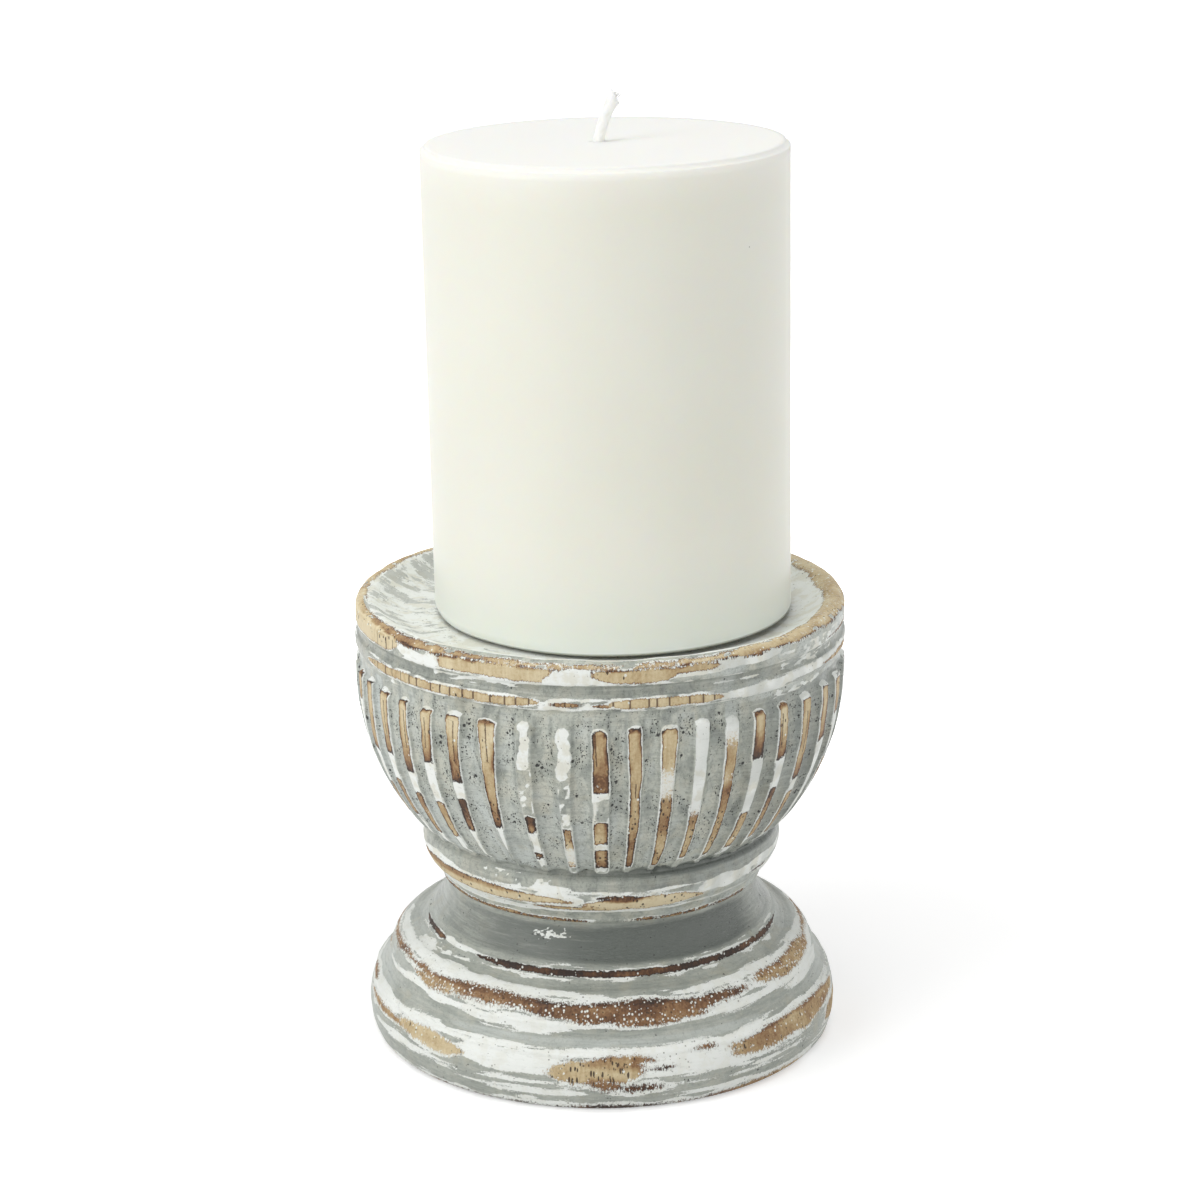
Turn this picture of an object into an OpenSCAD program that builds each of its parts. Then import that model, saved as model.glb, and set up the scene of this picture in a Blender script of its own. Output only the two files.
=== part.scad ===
// Turned and carved wooden candlestick with a pillar candle.
// The foot and the fluted bowl are two turnings, pulled together by a coach screw
// from beneath.  An iron pricket in the bowl's shallow dish holds the candle.
// Millimetres, +Z up, origin on the axis at the table.

/* [Candle] */
// Diameter of the wax pillar
candle_d = 77; // [64:0.2:79]
// Height of the wax pillar
candle_h = 100; // [50:0.5:160]
// Rounding of the candle's top edge
candle_top_round = 0.9; // [0.4:0.1:3]
// Bevel round the candle's bottom edge
candle_foot_bevel = 1.2; // [0.3:0.1:2.5]
// How far off the holder's axis the candle was pushed on
candle_shift = 2.8; // [0:0.1:3.2]
// Lean of the candle, degrees
candle_lean = 0.75; // [0:0.05:1]
// Clearance between the candle's lowest edge and the dish
candle_gap = 0.3; // [0.2:0.05:0.6]

/* [Wick] */
// Diameter of the braided wick
wick_d = 2.6; // [1.6:0.1:4]
// Length of wick that stands above the wax
wick_stub = 11; // [5:0.5:18]
// Lean of the free end, degrees
wick_lean = 16; // [0:1:40]
// Wax left between the wick's lower end and the pricket's hole
wick_foot = 4; // [2:0.5:12]
// Clearance of the wick in its wax, per side
wick_fit = 0.04; // [0.02:0.01:0.1]

/* [Bowl] */
// Diameter over the ribs and the rim
bowl_d = 106.2; // [98:0.2:124]
// Height of the carved part of the bowl
flute_h = 39.7; // [35:0.1:50]
// Height over which the bowl's side stands upright, above the belly
upright_h = 5.9; // [3:0.1:9]
// Radius of the bowl where the carving starts, above the collar's groove
bowl_foot_r = 40.2; // [38:0.1:42]

/* [Carving] */
// Number of flutes, with a raised rib between each two
ribs = 44; // [24:1:46]
// Radius of the gouge that cuts the flutes
gouge_r = 2.8; // [2.3:0.1:3.4]
// Depth of a flute at its top
flute_depth = 1.1; // [0.6:0.05:1.4]
// Depth of a flute at its foot
flute_foot_depth = 0.75; // [0.4:0.05:1]
// How far the flutes run on past the ribs' tops
flute_run_on = 0.9; // [0.3:0.1:1.5]
// Plain strip between the ribs' tops and the bead
plain_h = 2.7; // [1.8:0.1:4]
// Set-back of the plain strip behind the ribs
plain_depth = 0.9; // [0.4:0.05:1]

/* [Rim and bead] */
// Height of the bead under the rim's groove
bead_h = 2.8; // [1.6:0.1:4]
// How far the bead bulges
bead_bulge = 0.25; // [0.1:0.05:0.6]
// Height of the slope that leads out to the bead
bead_slope_h = 0.4; // [0.2:0.1:1]
// Height of the groove between bead and rim
rim_groove_h = 2.6; // [1.6:0.1:4]
// Depth of that groove
rim_groove_depth = 0.55; // [0.2:0.05:1]
// Step down into that groove at its edges
rim_groove_step = 0.15; // [0.05:0.05:0.4]
// Height of the rim's upright band
rim_h = 3.3; // [2:0.1:6]
// Height of the rounded lip on top of the band
lip_h = 1.5; // [0.8:0.1:2.5]
// Rounding of the lip's outer edge
lip_round = 0.4; // [0.1:0.05:0.6]
// Width of the lip
lip_w = 3.9; // [2.5:0.1:4.4]
// Fall of the lip's top towards the dish
lip_fall = 0.4; // [0.2:0.1:1]
// Crown of the lip's top
lip_crown = 0.1; // [0.05:0.05:0.3]
// Hollow of the slope from the lip to the dish's floor
dish_hollow = 0.35; // [0.1:0.05:0.8]
// Fall of the dish from the lip's crest to its floor
dish_depth = 4; // [2.5:0.1:6]
// Room left on the dish's floor round the candle
dish_room = 0.8; // [0.4:0.1:1.5]

/* [Collar] */
// Radius of the collar's roll at its upper edge
collar_r = 39.4; // [38.2:0.1:41]
// Radius of the collar's lower edge, over the neck
collar_foot_r = 35.3; // [33.5:0.1:36.5]
// Height of the small cove at the collar's foot
collar_cove_h = 3.1; // [2:0.1:5]
// How far that cove spreads
collar_cove_w = 1.6; // [0.8:0.1:2.2]
// Depth of that cove
collar_cove_depth = 0.25; // [0.1:0.05:0.6]
// Height of the collar's roll
collar_roll_h = 5.2; // [3.5:0.1:8]
// How far the collar's roll bulges
collar_roll_bulge = 0.55; // [0.2:0.05:1]
// Height of the plain strip above the roll
collar_strip_h = 3; // [1.5:0.1:5]
// How much the plain strip narrows upwards
collar_taper = 0.3; // [0.1:0.05:0.6]
// Height of the dark groove under the carving
collar_groove_h = 1.8; // [1:0.1:3]
// Depth of that groove
collar_groove_depth = 0.9; // [0.4:0.1:1.5]

/* [Foot] */
// Radius of the foot's bottom edge
foot_r = 50.7; // [48:0.1:58]
// Height of the lowest roll
foot_roll_h = 12.5; // [9:0.1:18]
// How far the lowest roll bulges
foot_roll_bulge = 1.3; // [0.6:0.05:2]
// How much narrower the lowest roll is at its top
foot_taper = 0.4; // [0:0.1:1]
// Height of the small ledge above the lowest roll
ledge_h = 0.6; // [0.3:0.1:1.2]
// Set-back of that ledge
ledge_w = 0.6; // [0.3:0.1:1.2]
// Radius where the lower cove meets the upper roll
upper_roll_r = 47.4; // [45:0.1:49]
// Height of the lower cove
foot_cove_h = 3.7; // [2.5:0.1:6]
// Depth of the lower cove
foot_cove_depth = 0.5; // [0.2:0.05:1]
// Radius where the upper roll meets the shoulder
shoulder_r = 42.5; // [41:0.1:44.5]
// Height of the upper roll
upper_roll_h = 6.2; // [4:0.1:9]
// How far the upper roll bulges
upper_roll_bulge = 0.8; // [0.3:0.05:1.2]
// Radius of the riser under the neck
riser_r = 38.7; // [37:0.1:40.5]
// Hollow of the shoulder
shoulder_hollow = 0.35; // [0.1:0.05:0.6]
// Set-back of the neck behind the riser
riser_step = 0.4; // [0.1:0.1:0.8]
// Rise of the shoulder, from the upper roll to the riser
shoulder_h = 1.8; // [1:0.1:3]
// Height of the riser
riser_h = 1.2; // [0.6:0.1:2]
// Radius of the neck under the collar
neck_r = 34.3; // [31:0.1:35]
// Height of the neck
neck_h = 9.7; // [7:0.1:20]
// How deep the neck is hollowed
neck_hollow = 1.2; // [0.4:0.1:2]

/* [Cork pad] */
// Diameter of the cork disc
pad_d = 92; // [70:1:96]
// Thickness of the cork disc
pad_t = 1.4; // [1:0.1:3]
// How far the cork stands below the wood
pad_proud = 0.4; // [0.2:0.1:0.8]
// Clearance round the cork in its recess
pad_fit = 0.3; // [0.1:0.05:0.5]

/* [Tenon and screw] */
// Diameter of the bowl's tenon
tenon_d = 30; // [24:0.5:40]
// Length of the tenon
tenon_h = 9; // [6:0.5:12]
// Glue gap round and under the tenon
tenon_fit = 0.15; // [0.05:0.05:0.3]
// Diameter of the coach screw
screw_d = 6; // [4:0.5:8]
// Length of the screw under its head
screw_l = 50; // [42:1:60]
// Width of the hexagon head across its corners
screw_head_d = 11.5; // [9:0.5:14]
// Thickness of the hexagon head
screw_head_h = 4; // [3:0.5:6]
// Length of the screw's point
screw_point = 7; // [4:0.5:10]
// Clearance of the screw in the bowl, per side
screw_fit = 0.05; // [0.02:0.01:0.1]
// Clearance of the screw through the foot, per side
screw_pass = 0.4; // [0.2:0.1:0.8]
// Diameter of the washer
washer_d = 18; // [15:0.5:22]
// Thickness of the washer
washer_t = 1.6; // [1:0.1:2.5]
// Clearance of the screw in the washer, per side
washer_fit = 0.2; // [0.1:0.05:0.4]
// Depth of the counterbore above the cork's recess
counterbore_h = 11; // [9:0.5:14]
// Room round the washer, for a socket wrench
wrench_room = 3; // [2:0.5:4]

/* [Pricket] */
// Diameter of the spike at the dish
spike_d = 3.2; // [2.4:0.1:4.5]
// Diameter of the spike's blunt tip
spike_tip_d = 1; // [0.6:0.1:1.4]
// Height of the spike above the dish
spike_h = 18; // [10:0.5:30]
// Length of the stem driven into the wood
stem_h = 14; // [8:0.5:20]
// Diameter of the flange
flange_d = 12; // [8:0.5:20]
// Thickness of the flange
flange_t = 1; // [0.6:0.1:2]
// Depth of the flange's top below the dish
flange_sunk = 0.1; // [0.05:0.05:0.4]
// Clearance round the flange and the stem
pricket_fit = 0.05; // [0.02:0.01:0.2]
// Clearance of the spike in the candle, per side
spike_pass = 0.5; // [0.35:0.05:0.8]

/* [Hidden] */
$fn = 96;
cut = 0.5;          // how far a cutter runs past the face that it opens
steps = 6;          // straight lines to each round moulding
belly_steps = 12;   // straight lines to the bowl's long curve

// Heights of the foot's mouldings, from the table up, and the radius over its lowest roll
wood_z = pad_proud;
ledge_z = wood_z + foot_roll_h;
cove_z = ledge_z + ledge_h;
upper_roll_z = cove_z + foot_cove_h;
shoulder_z = upper_roll_z + upper_roll_h;
riser_z = shoulder_z + shoulder_h;
neck_z = riser_z + riser_h;
seam_z = neck_z + neck_h;
foot_top_r = foot_r - foot_taper;

// Heights of the bowl's mouldings, from the seam up
collar_roll_z = seam_z + collar_cove_h;
collar_strip_z = collar_roll_z + collar_roll_h;
collar_groove_z = collar_strip_z + collar_strip_h;
flute_z = collar_groove_z + collar_groove_h;
belly_z = flute_z + flute_h - upright_h;
rib_top_z = flute_z + flute_h - plain_h;
bead_z = flute_z + flute_h;
rim_groove_z = bead_z + bead_h;
rim_z = rim_groove_z + rim_groove_h;
lip_z = rim_z + rim_h;
crest_z = lip_z + lip_h;
dish_z = crest_z - dish_depth;

// Radii of the bowl
bowl_r = bowl_d / 2;
plain_r = bowl_r - plain_depth;
rim_r = bowl_r - bead_bulge;
crest_r = rim_r - lip_w / 2;
dish_r = candle_d / 2 + candle_shift + dish_room;
collar_strip_r = collar_r - collar_taper;

// Path of the gouge along a flute's floor: an arc that stands upright where the belly does
flute_rise = belly_z - flute_z;
flute_spread = bowl_r - flute_depth - bowl_foot_r + flute_foot_depth;
gouge_path_r = (flute_rise * flute_rise + flute_spread * flute_spread) / (2 * flute_spread);
gouge_centre_r = bowl_r - flute_depth - gouge_path_r;
gouge_low = asin((flute_rise + collar_groove_h / 2) / gouge_path_r);
gouge_high = asin((rib_top_z + flute_run_on - belly_z) / gouge_path_r);

// Places of the fastenings
recess_z = wood_z + pad_t - pad_proud;
washer_z = recess_z + counterbore_h - washer_t;
head_z = washer_z - screw_head_h;
screw_top_z = washer_z + screw_l;
flange_z = dish_z - flange_sunk - flange_t;
spike_top_z = dish_z + spike_h;

// Places of the candle: it tips about its lowest edge
candle_z = dish_z + candle_gap + (candle_d / 2 - candle_foot_bevel) * sin(candle_lean);
spike_hole_top = spike_h + spike_pass;
wick_bottom = spike_hole_top + wick_foot;

// Points of a round moulding from p to q, whose middle stands rise proud of the line
function bow(p, q, rise, n = steps) =
    let (
        chord = norm(q - p),
        along = (q - p) / chord,
        proud = [along.y, -along.x],
        half = 2 * atan(2 * rise / chord),
        rad = chord / (2 * sin(half))
    )
    [for (i = [0 : n])
        let (a = half * (2 * i / n - 1))
        (p + q) / 2 + along * rad * sin(a) + proud * rad * (cos(a) - cos(half))];

// Points of an upright curve from [foot, low] to [top, high] that ends upright at its top
function belly(foot, low, top, high, n = belly_steps) =
    let (
        rise = high - low,
        run = top - foot,
        rad = (rise * rise + run * run) / (2 * run),
        sweep = asin(rise / rad)
    )
    [for (i = [0 : n])
        let (a = sweep * (1 - i / n))
        [top - rad + rad * cos(a), high - rad * sin(a)]];

// Half outline of the foot, from its bottom edge up to the neck
function foot_side() = concat(
    bow([foot_r, wood_z], [foot_top_r, ledge_z], foot_roll_bulge, 2 * steps),
    bow([foot_top_r - ledge_w, cove_z], [upper_roll_r, upper_roll_z], -foot_cove_depth),
    bow([upper_roll_r, upper_roll_z], [shoulder_r, shoulder_z], upper_roll_bulge),
    bow([shoulder_r, shoulder_z], [riser_r, riser_z], -shoulder_hollow),
    bow([riser_r - riser_step, neck_z], [neck_r, seam_z], -neck_hollow, 2 * steps)
);

// Half outline of the collar, from the seam up to the carving
function collar_side() = concat(
    bow([collar_foot_r, seam_z], [collar_foot_r + collar_cove_w, collar_roll_z], -collar_cove_depth),
    bow([collar_foot_r + collar_cove_w, collar_roll_z], [collar_r, collar_strip_z], collar_roll_bulge),
    [[collar_strip_r, collar_groove_z],
     [collar_strip_r - collar_groove_depth, collar_groove_z + collar_groove_h / 2]]
);

// Half outline of the rim, from the bead up over the lip and down into the dish
function rim_side() = concat(
    bow([rim_r, bead_z], [rim_r, rim_groove_z], bead_bulge),
    bow([rim_r - rim_groove_step, rim_groove_z], [rim_r - rim_groove_step, rim_z], -rim_groove_depth),
    [[rim_r, rim_z]],
    bow([rim_r, lip_z], [crest_r, crest_z], lip_round),
    bow([crest_r, crest_z], [rim_r - lip_w, crest_z - lip_fall], lip_crown, 3),
    bow([rim_r - lip_w, crest_z - lip_fall], [dish_r, dish_z], -dish_hollow)
);

// Foot turning: rolls and coves outside, mortise above, counterbore and cork recess below
module base() {
    color("darkgray")
    difference() {
        rotate_extrude()
            polygon(concat([[0, wood_z]], foot_side(), [[0, seam_z]]));
        translate([0, 0, seam_z - tenon_h - tenon_fit])
            cylinder(d = tenon_d + 2 * tenon_fit, h = tenon_h + tenon_fit + cut);
        cylinder(d = screw_d + 2 * screw_pass, h = seam_z);
        translate([0, 0, recess_z - cut])
            cylinder(d = washer_d + 2 * wrench_room, h = counterbore_h + cut);
        cylinder(d = pad_d + 2 * pad_fit, h = recess_z);
    }
}

// Cork disc glued into the foot's recess, on which the candlestick stands
module cork_pad() {
    color("tan")
        cylinder(d = pad_d, h = pad_t);
}

// Cutter for one flute: a round gouge swept down the belly and out into the collar's groove
module flute() {
    translate([gouge_centre_r, 0, belly_z])
        rotate([90, 0, 0])
            rotate([0, 0, -gouge_low])
                rotate_extrude(angle = gouge_low + gouge_high)
                    translate([gouge_path_r + gouge_r, 0])
                        circle(gouge_r, $fn = 48);
}

// Bowl turning with its collar, ribs between carved flutes, rim, dish and tenon
module bowl() {
    color("silver")
    difference() {
        union() {
            rotate_extrude()
                polygon(concat(
                    [[0, seam_z]],
                    collar_side(),
                    belly(bowl_foot_r, flute_z, bowl_r, belly_z),
                    [[bowl_r, rib_top_z], [plain_r, rib_top_z], [plain_r, bead_z - bead_slope_h]],
                    rim_side(),
                    [[0, dish_z]]));
            translate([0, 0, seam_z - tenon_h])
                cylinder(d = tenon_d, h = tenon_h + cut);
        }
        for (i = [0 : ribs - 1])
            rotate([0, 0, (i + 0.5) * 360 / ribs])
                flute();
        translate([0, 0, seam_z - tenon_h - cut])
            cylinder(d = screw_d + 2 * screw_fit, h = screw_top_z - seam_z + tenon_h + 2 * cut);
        translate([0, 0, flange_z])
            cylinder(d = flange_d + 2 * pricket_fit, h = dish_z - flange_z + cut);
        translate([0, 0, flange_z - stem_h - cut])
            cylinder(d = spike_d + 2 * pricket_fit, h = stem_h + 2 * cut);
    }
}

// Coach screw with a hexagon head, driven up through the foot into the bowl
module joint_screw() {
    color("gray")
    union() {
        translate([0, 0, head_z])
            cylinder(d = screw_head_d, h = screw_head_h, $fn = 6);
        translate([0, 0, washer_z - cut])
            cylinder(d = screw_d, h = screw_l - screw_point + cut);
        translate([0, 0, screw_top_z - screw_point])
            cylinder(d1 = screw_d, d2 = 1, h = screw_point);
    }
}

// Washer that spreads the screw's pull over the wood
module joint_washer() {
    color("lightgray")
    difference() {
        translate([0, 0, washer_z])
            cylinder(d = washer_d, h = washer_t);
        translate([0, 0, washer_z - cut])
            cylinder(d = screw_d + 2 * washer_fit, h = washer_t + 2 * cut);
    }
}

// Iron pricket: a stem in the wood, a flange let into the dish, and a tapered spike
module pricket() {
    color("dimgray")
    union() {
        translate([0, 0, flange_z - stem_h])
            cylinder(d = spike_d, h = stem_h + cut);
        translate([0, 0, flange_z])
            cylinder(d = flange_d, h = flange_t);
        translate([0, 0, flange_z + flange_t - cut])
            cylinder(d1 = spike_d, d2 = spike_tip_d, h = spike_top_z - flange_z - flange_t + cut);
    }
}

// Puts a piece of the candle where it stands: off the axis and leaning a little
module on_candle() {
    translate([candle_shift, 0, candle_z])
        rotate([0, -candle_lean, 0])
            children();
}

// Wax pillar, pierced from below by the spike and from above by the wick
module candle() {
    color("ivory")
    difference() {
        on_candle()
            difference() {
                rotate_extrude()
                    polygon(concat(
                        [[0, 0], [candle_d / 2 - candle_foot_bevel, 0], [candle_d / 2, candle_foot_bevel]],
                        bow([candle_d / 2, candle_h - candle_top_round],
                            [candle_d / 2 - candle_top_round, candle_h], candle_top_round * 0.29),
                        [[0, candle_h]]));
                translate([0, 0, wick_bottom - wick_fit])
                    cylinder(d = wick_d + 2 * wick_fit, h = candle_h);
            }
        cylinder(d = spike_d + 2 * spike_pass, h = dish_z + spike_hole_top);
    }
}

// Braided wick: upright in the wax, with a free end that leans over
module wick() {
    color("whitesmoke")
    on_candle()
        union() {
            translate([0, 0, wick_bottom])
                cylinder(d = wick_d, h = candle_h - wick_bottom + wick_d / 2);
            translate([0, 0, candle_h])
                rotate([0, wick_lean, 0])
                    cylinder(d = wick_d - 2 * wick_fit, h = wick_stub);
        }
}

base();
cork_pad();
bowl();
joint_screw();
joint_washer();
pricket();
candle();
wick();
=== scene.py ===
import math

import bpy
import numpy as np
from mathutils import Matrix, Vector


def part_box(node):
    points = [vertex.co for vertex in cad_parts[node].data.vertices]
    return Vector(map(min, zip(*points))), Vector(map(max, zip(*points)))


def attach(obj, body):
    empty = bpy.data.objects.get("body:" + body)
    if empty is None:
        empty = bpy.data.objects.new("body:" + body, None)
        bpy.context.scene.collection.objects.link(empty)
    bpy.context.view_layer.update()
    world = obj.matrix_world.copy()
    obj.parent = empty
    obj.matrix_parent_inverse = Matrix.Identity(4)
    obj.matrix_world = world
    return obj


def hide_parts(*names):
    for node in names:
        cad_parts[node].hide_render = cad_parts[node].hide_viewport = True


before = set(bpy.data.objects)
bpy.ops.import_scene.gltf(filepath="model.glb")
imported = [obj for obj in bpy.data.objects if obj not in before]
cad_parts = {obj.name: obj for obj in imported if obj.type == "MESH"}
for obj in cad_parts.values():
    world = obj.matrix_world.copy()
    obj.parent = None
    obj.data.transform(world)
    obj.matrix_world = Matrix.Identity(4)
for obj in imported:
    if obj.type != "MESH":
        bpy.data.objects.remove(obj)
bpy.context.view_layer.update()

scene = bpy.context.scene


# ---------------------------------------------------------------- Camera
# A long lens a little above the rim looks down on the candlestick from the front,
# so that the dish shows round the candle's foot and the foot's mouldings overlap a little.

CAMERA_BACK = 0.6302          # from the candlestick's axis, along -Y
CAMERA_HEIGHT = 0.2845
CAMERA_TILT = math.radians(16.6)
CAMERA_ROLL = math.radians(-0.3)
CAMERA_LENS = 91.14           # mm, on a sensor 36 mm wide

lens = bpy.data.cameras.new("camera")
lens.sensor_width = 36.0
lens.lens = CAMERA_LENS
lens.clip_start = 0.01
camera = bpy.data.objects.new("camera", lens)
scene.collection.objects.link(camera)
camera.matrix_world = (
    Matrix.Translation((0.0, -CAMERA_BACK, CAMERA_HEIGHT))
    @ Matrix.Rotation(math.pi / 2 - CAMERA_TILT, 4, "X")
    @ Matrix.Rotation(CAMERA_ROLL, 4, "Z")
)
scene.camera = camera


# ---------------------------------------------------------------- Foot
# The foot is turned from one block of mango wood: a low roll, a cove, an upper roll, a
# shoulder and a hollow neck.  It was brushed white, then grey, and sanded back, so that
# the proud mouldings show bare wood with a ragged white edge.

MM = 0.001


def turning(stops):
    """Outline of a turning.  Each stop is (radius, height, bulge, rows): the outline runs
    to the next stop on a circular arc whose middle stands bulge proud of the chord, to the
    right of the way it runs, in that many rows."""
    radius, height = [], []
    for (r0, z0, bulge, rows), (r1, z1, _, _) in zip(stops[:-1], stops[1:]):
        t = np.linspace(0.0, 1.0, rows, endpoint=False)
        chord = math.hypot(r1 - r0, z1 - z0)
        across = ((z1 - z0) / chord, -(r1 - r0) / chord)
        half = 2 * math.atan2(2 * abs(bulge), chord)
        if half > 1e-6:
            arc = chord / (2 * math.sin(half))
            along = 0.5 + np.sin(half * (2 * t - 1)) / (2 * math.sin(half))
            lift = math.copysign(arc, bulge) * (np.cos(half * (2 * t - 1)) - math.cos(half))
        else:
            along, lift = t, np.zeros(rows)
        radius.append(r0 + (r1 - r0) * along + across[0] * lift)
        height.append(z0 + (z1 - z0) * along + across[1] * lift)
    radius.append(np.array([stops[-1][0]]))
    height.append(np.array([stops[-1][1]]))
    return np.concatenate(radius), np.concatenate(height)


def ring_noise(angle, along, seed, cells_round, cell_along):
    """Smooth random field on a surface of revolution, from -1 to 1: random numbers on a
    lattice that closes round the axis, blended between lattice points by a smooth step.
    The lattice has cells_round cells round the axis, and one every cell_along mm along."""
    rng = np.random.default_rng(seed)
    lattice_rows, first_row = 512, 100.0
    lattice = rng.uniform(-1.0, 1.0, (lattice_rows, cells_round))
    u = (np.degrees(angle) / 360.0 % 1.0) * cells_round
    v = along / cell_along + first_row
    iu, iv = np.floor(u).astype(int), np.floor(v).astype(int)
    fu, fv = u - iu, v - iv
    fu, fv = fu * fu * (3 - 2 * fu), fv * fv * (3 - 2 * fv)

    def at(row, column):
        return lattice[row % lattice_rows, column % cells_round]

    low = at(iv, iu) * (1 - fu) + at(iv, iu + 1) * fu
    high = at(iv + 1, iu) * (1 - fu) + at(iv + 1, iu + 1) * fu
    return low * (1 - fv) + high * fv


def smooth(value):
    """Smooth step: 0 below 0, 1 above 1, and 3v^2 - 2v^3 between."""
    value = np.clip(value, 0.0, 1.0)
    return value * value * (3 - 2 * value)


def surface(name, x, y, z, first_pole=None, last_pole=None):
    """A closed mesh from a grid of points, rows by columns.  Columns close round the axis.
    Rows close on themselves, or end in a pole at each end.  Faces are turned outwards."""
    rows, columns = x.shape
    points = np.stack([x, y, z], axis=-1).reshape(-1, 3) * MM
    ring = np.arange(rows * columns).reshape(rows, columns)
    closed = first_pole is None
    upper = np.roll(ring, -1, axis=0) if closed else ring[1:]
    lower = ring if closed else ring[:-1]
    quads = np.stack(
        [lower, np.roll(lower, -1, axis=1), np.roll(upper, -1, axis=1), upper], axis=-1
    ).reshape(-1, 4)
    triangles = np.zeros((0, 3), int)
    if not closed:
        points = np.vstack([points, np.array([first_pole, last_pole]) * MM])
        first, last = rows * columns, rows * columns + 1
        start, end = ring[0], ring[-1]
        triangles = np.vstack([
            np.stack([np.full(columns, first), np.roll(start, -1), start], axis=-1),
            np.stack([np.full(columns, last), end, np.roll(end, -1)], axis=-1),
        ])
    corner = points[quads]
    middle = corner.mean(axis=1)
    normal = np.cross(corner[:, 2] - corner[:, 0], corner[:, 3] - corner[:, 1])
    if (middle * normal).sum() < 0:
        quads, triangles = quads[:, ::-1], triangles[:, ::-1]
    mesh = bpy.data.meshes.new(name)
    mesh.from_pydata(points.tolist(), [], quads.tolist() + triangles.tolist())
    mesh.shade_smooth()
    piece = bpy.data.objects.new(name, mesh)
    scene.collection.objects.link(piece)
    return piece


def paint_field(piece, name, grid):
    """Stores one number per grid point as a named attribute.  Points past the grid's end, the
    poles, take its last number, so that a plain number goes to every point."""
    values = np.asarray(grid, dtype=np.float32).ravel()
    spare = len(piece.data.vertices) - len(values)
    values = np.concatenate([values, np.full(spare, values[-1], dtype=np.float32)])
    layer = piece.data.attributes.new(name, "FLOAT", "POINT")
    layer.data.foreach_set("value", values)


def between(value, stops):
    """Straight lines through stops given as {place: number}, level beyond their ends."""
    return np.interp(value, list(stops), list(stops.values()))


ALL_ROUND = (-400, 400)       # degrees: a patch with no ends
FAR_OFF = 9.0                 # mm: farther from an edge than any coat's raggedness reaches


def strip(angle, along, radius, turn, run, drawn=0.0, fade=1.0):
    """Distance in mm inside a patch from turn[0] to turn[1] degrees and run[0] to run[1] mm
    along the outline; negative outside.  Its last drawn mm at each end narrow to a point, and
    a fade over 1 makes the distance grow that much more slowly from its ends."""
    middle, half = (turn[0] + turn[1]) / 2, (turn[1] - turn[0]) / 2
    off = (angle - middle + 180.0) % 360.0 - 180.0
    ends = (half - np.abs(off)) * np.radians(1.0) * radius
    sides = np.minimum(along - run[0], run[1] - along)
    if drawn:
        reach = np.clip(ends / drawn, 0.0, 1.0)
        sides = sides - (1 - np.sqrt(reach)) * (run[1] - run[0]) / 2
    return np.minimum(ends / fade, sides)


# Heights and radii of the foot's mouldings and of the holes beneath them, mm
foot_low, foot_high = [np.array(corner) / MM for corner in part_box("base")]
NECK_TOP = foot_high[2]
WOOD_BOTTOM = foot_low[2]
FOOT_COLUMNS = 620
MORTISE_R = 15.15
MORTISE_FLOOR = NECK_TOP - 9.15
SCREW_PASS_R = 3.4
COUNTERBORE_R = 12.0
RECESS_TOP = 1.4
COUNTERBORE_TOP = RECESS_TOP + 11.0
CORK_RECESS_R = 46.3
RISER_FOOT, RISER_TOP = 25.15, 26.45
LINE_Z = 0.8

foot_outside = [
    (50.3, WOOD_BOTTOM, 0.12, 3),
    (51.15, 1.5, 0.95, 26),
    (50.75, 11.7, 0.30, 5),
    (49.95, 12.95, 0.0, 2),
    (49.6, 13.3, -0.50, 13),
    (47.4, 17.2, 0.12, 4),
    (47.0, 18.1, 0.85, 19),
    (42.45, 23.35, -0.38, 13),
    (38.95, 25.0, 0.0, 1),
    (38.75, RISER_FOOT, 0.0, 4),
    (38.55, RISER_TOP, 0.0, 1),
    (38.2, RISER_TOP + 0.12, -1.25, 30),
    (34.3, NECK_TOP, 0.0, 2),
    (MORTISE_R, NECK_TOP, 0.0, 1),
    (MORTISE_R, MORTISE_FLOOR, 0.0, 1),
    (SCREW_PASS_R, MORTISE_FLOOR, 0.0, 1),
    (SCREW_PASS_R, COUNTERBORE_TOP, 0.0, 1),
    (COUNTERBORE_R, COUNTERBORE_TOP, 0.0, 1),
    (COUNTERBORE_R, RECESS_TOP, 0.0, 2),
    (CORK_RECESS_R, RECESS_TOP, 0.0, 1),
    (CORK_RECESS_R, WOOD_BOTTOM, 0.0, 1),
    (50.3, WOOD_BOTTOM, 0.0, 1),
]
foot_r, foot_z = turning(foot_outside)
foot_r, foot_z = foot_r[:-1], foot_z[:-1]
foot_rows = len(foot_r)
foot_shown = sum(stop[3] for stop in foot_outside[:12])

foot_angle = np.linspace(0.0, 2 * math.pi, FOOT_COLUMNS, endpoint=False)
around, _ = np.meshgrid(foot_angle, foot_r)
foot_s = np.concatenate([[0.0], np.cumsum(np.hypot(np.diff(foot_r), np.diff(foot_z)))])
along = np.repeat(foot_s[:, None], FOOT_COLUMNS, axis=1)
degrees = (np.degrees(around) + 180.0) % 360.0 - 180.0

# Sanding by hand leaves the mouldings a little uneven, and a little under their full size
shown = np.repeat((np.arange(foot_rows) < foot_shown)[:, None], FOOT_COLUMNS, axis=1)
uneven = 0.10 * ring_noise(around, along, 11, 40, 6.0)
uneven = uneven + 0.06 * ring_noise(around, along, 12, 150, 1.6)
edge_fade = np.clip(np.minimum(foot_z - WOOD_BOTTOM, NECK_TOP - foot_z) / 0.8, 0.0, 1.0)[:, None]
wide = foot_r[:, None] + (uneven - 0.12) * edge_fade * shown
foot_turning = surface(
    "foot_turning", wide * np.sin(around), -wide * np.cos(around),
    np.repeat(foot_z[:, None], FOOT_COLUMNS, axis=1),
)


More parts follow.
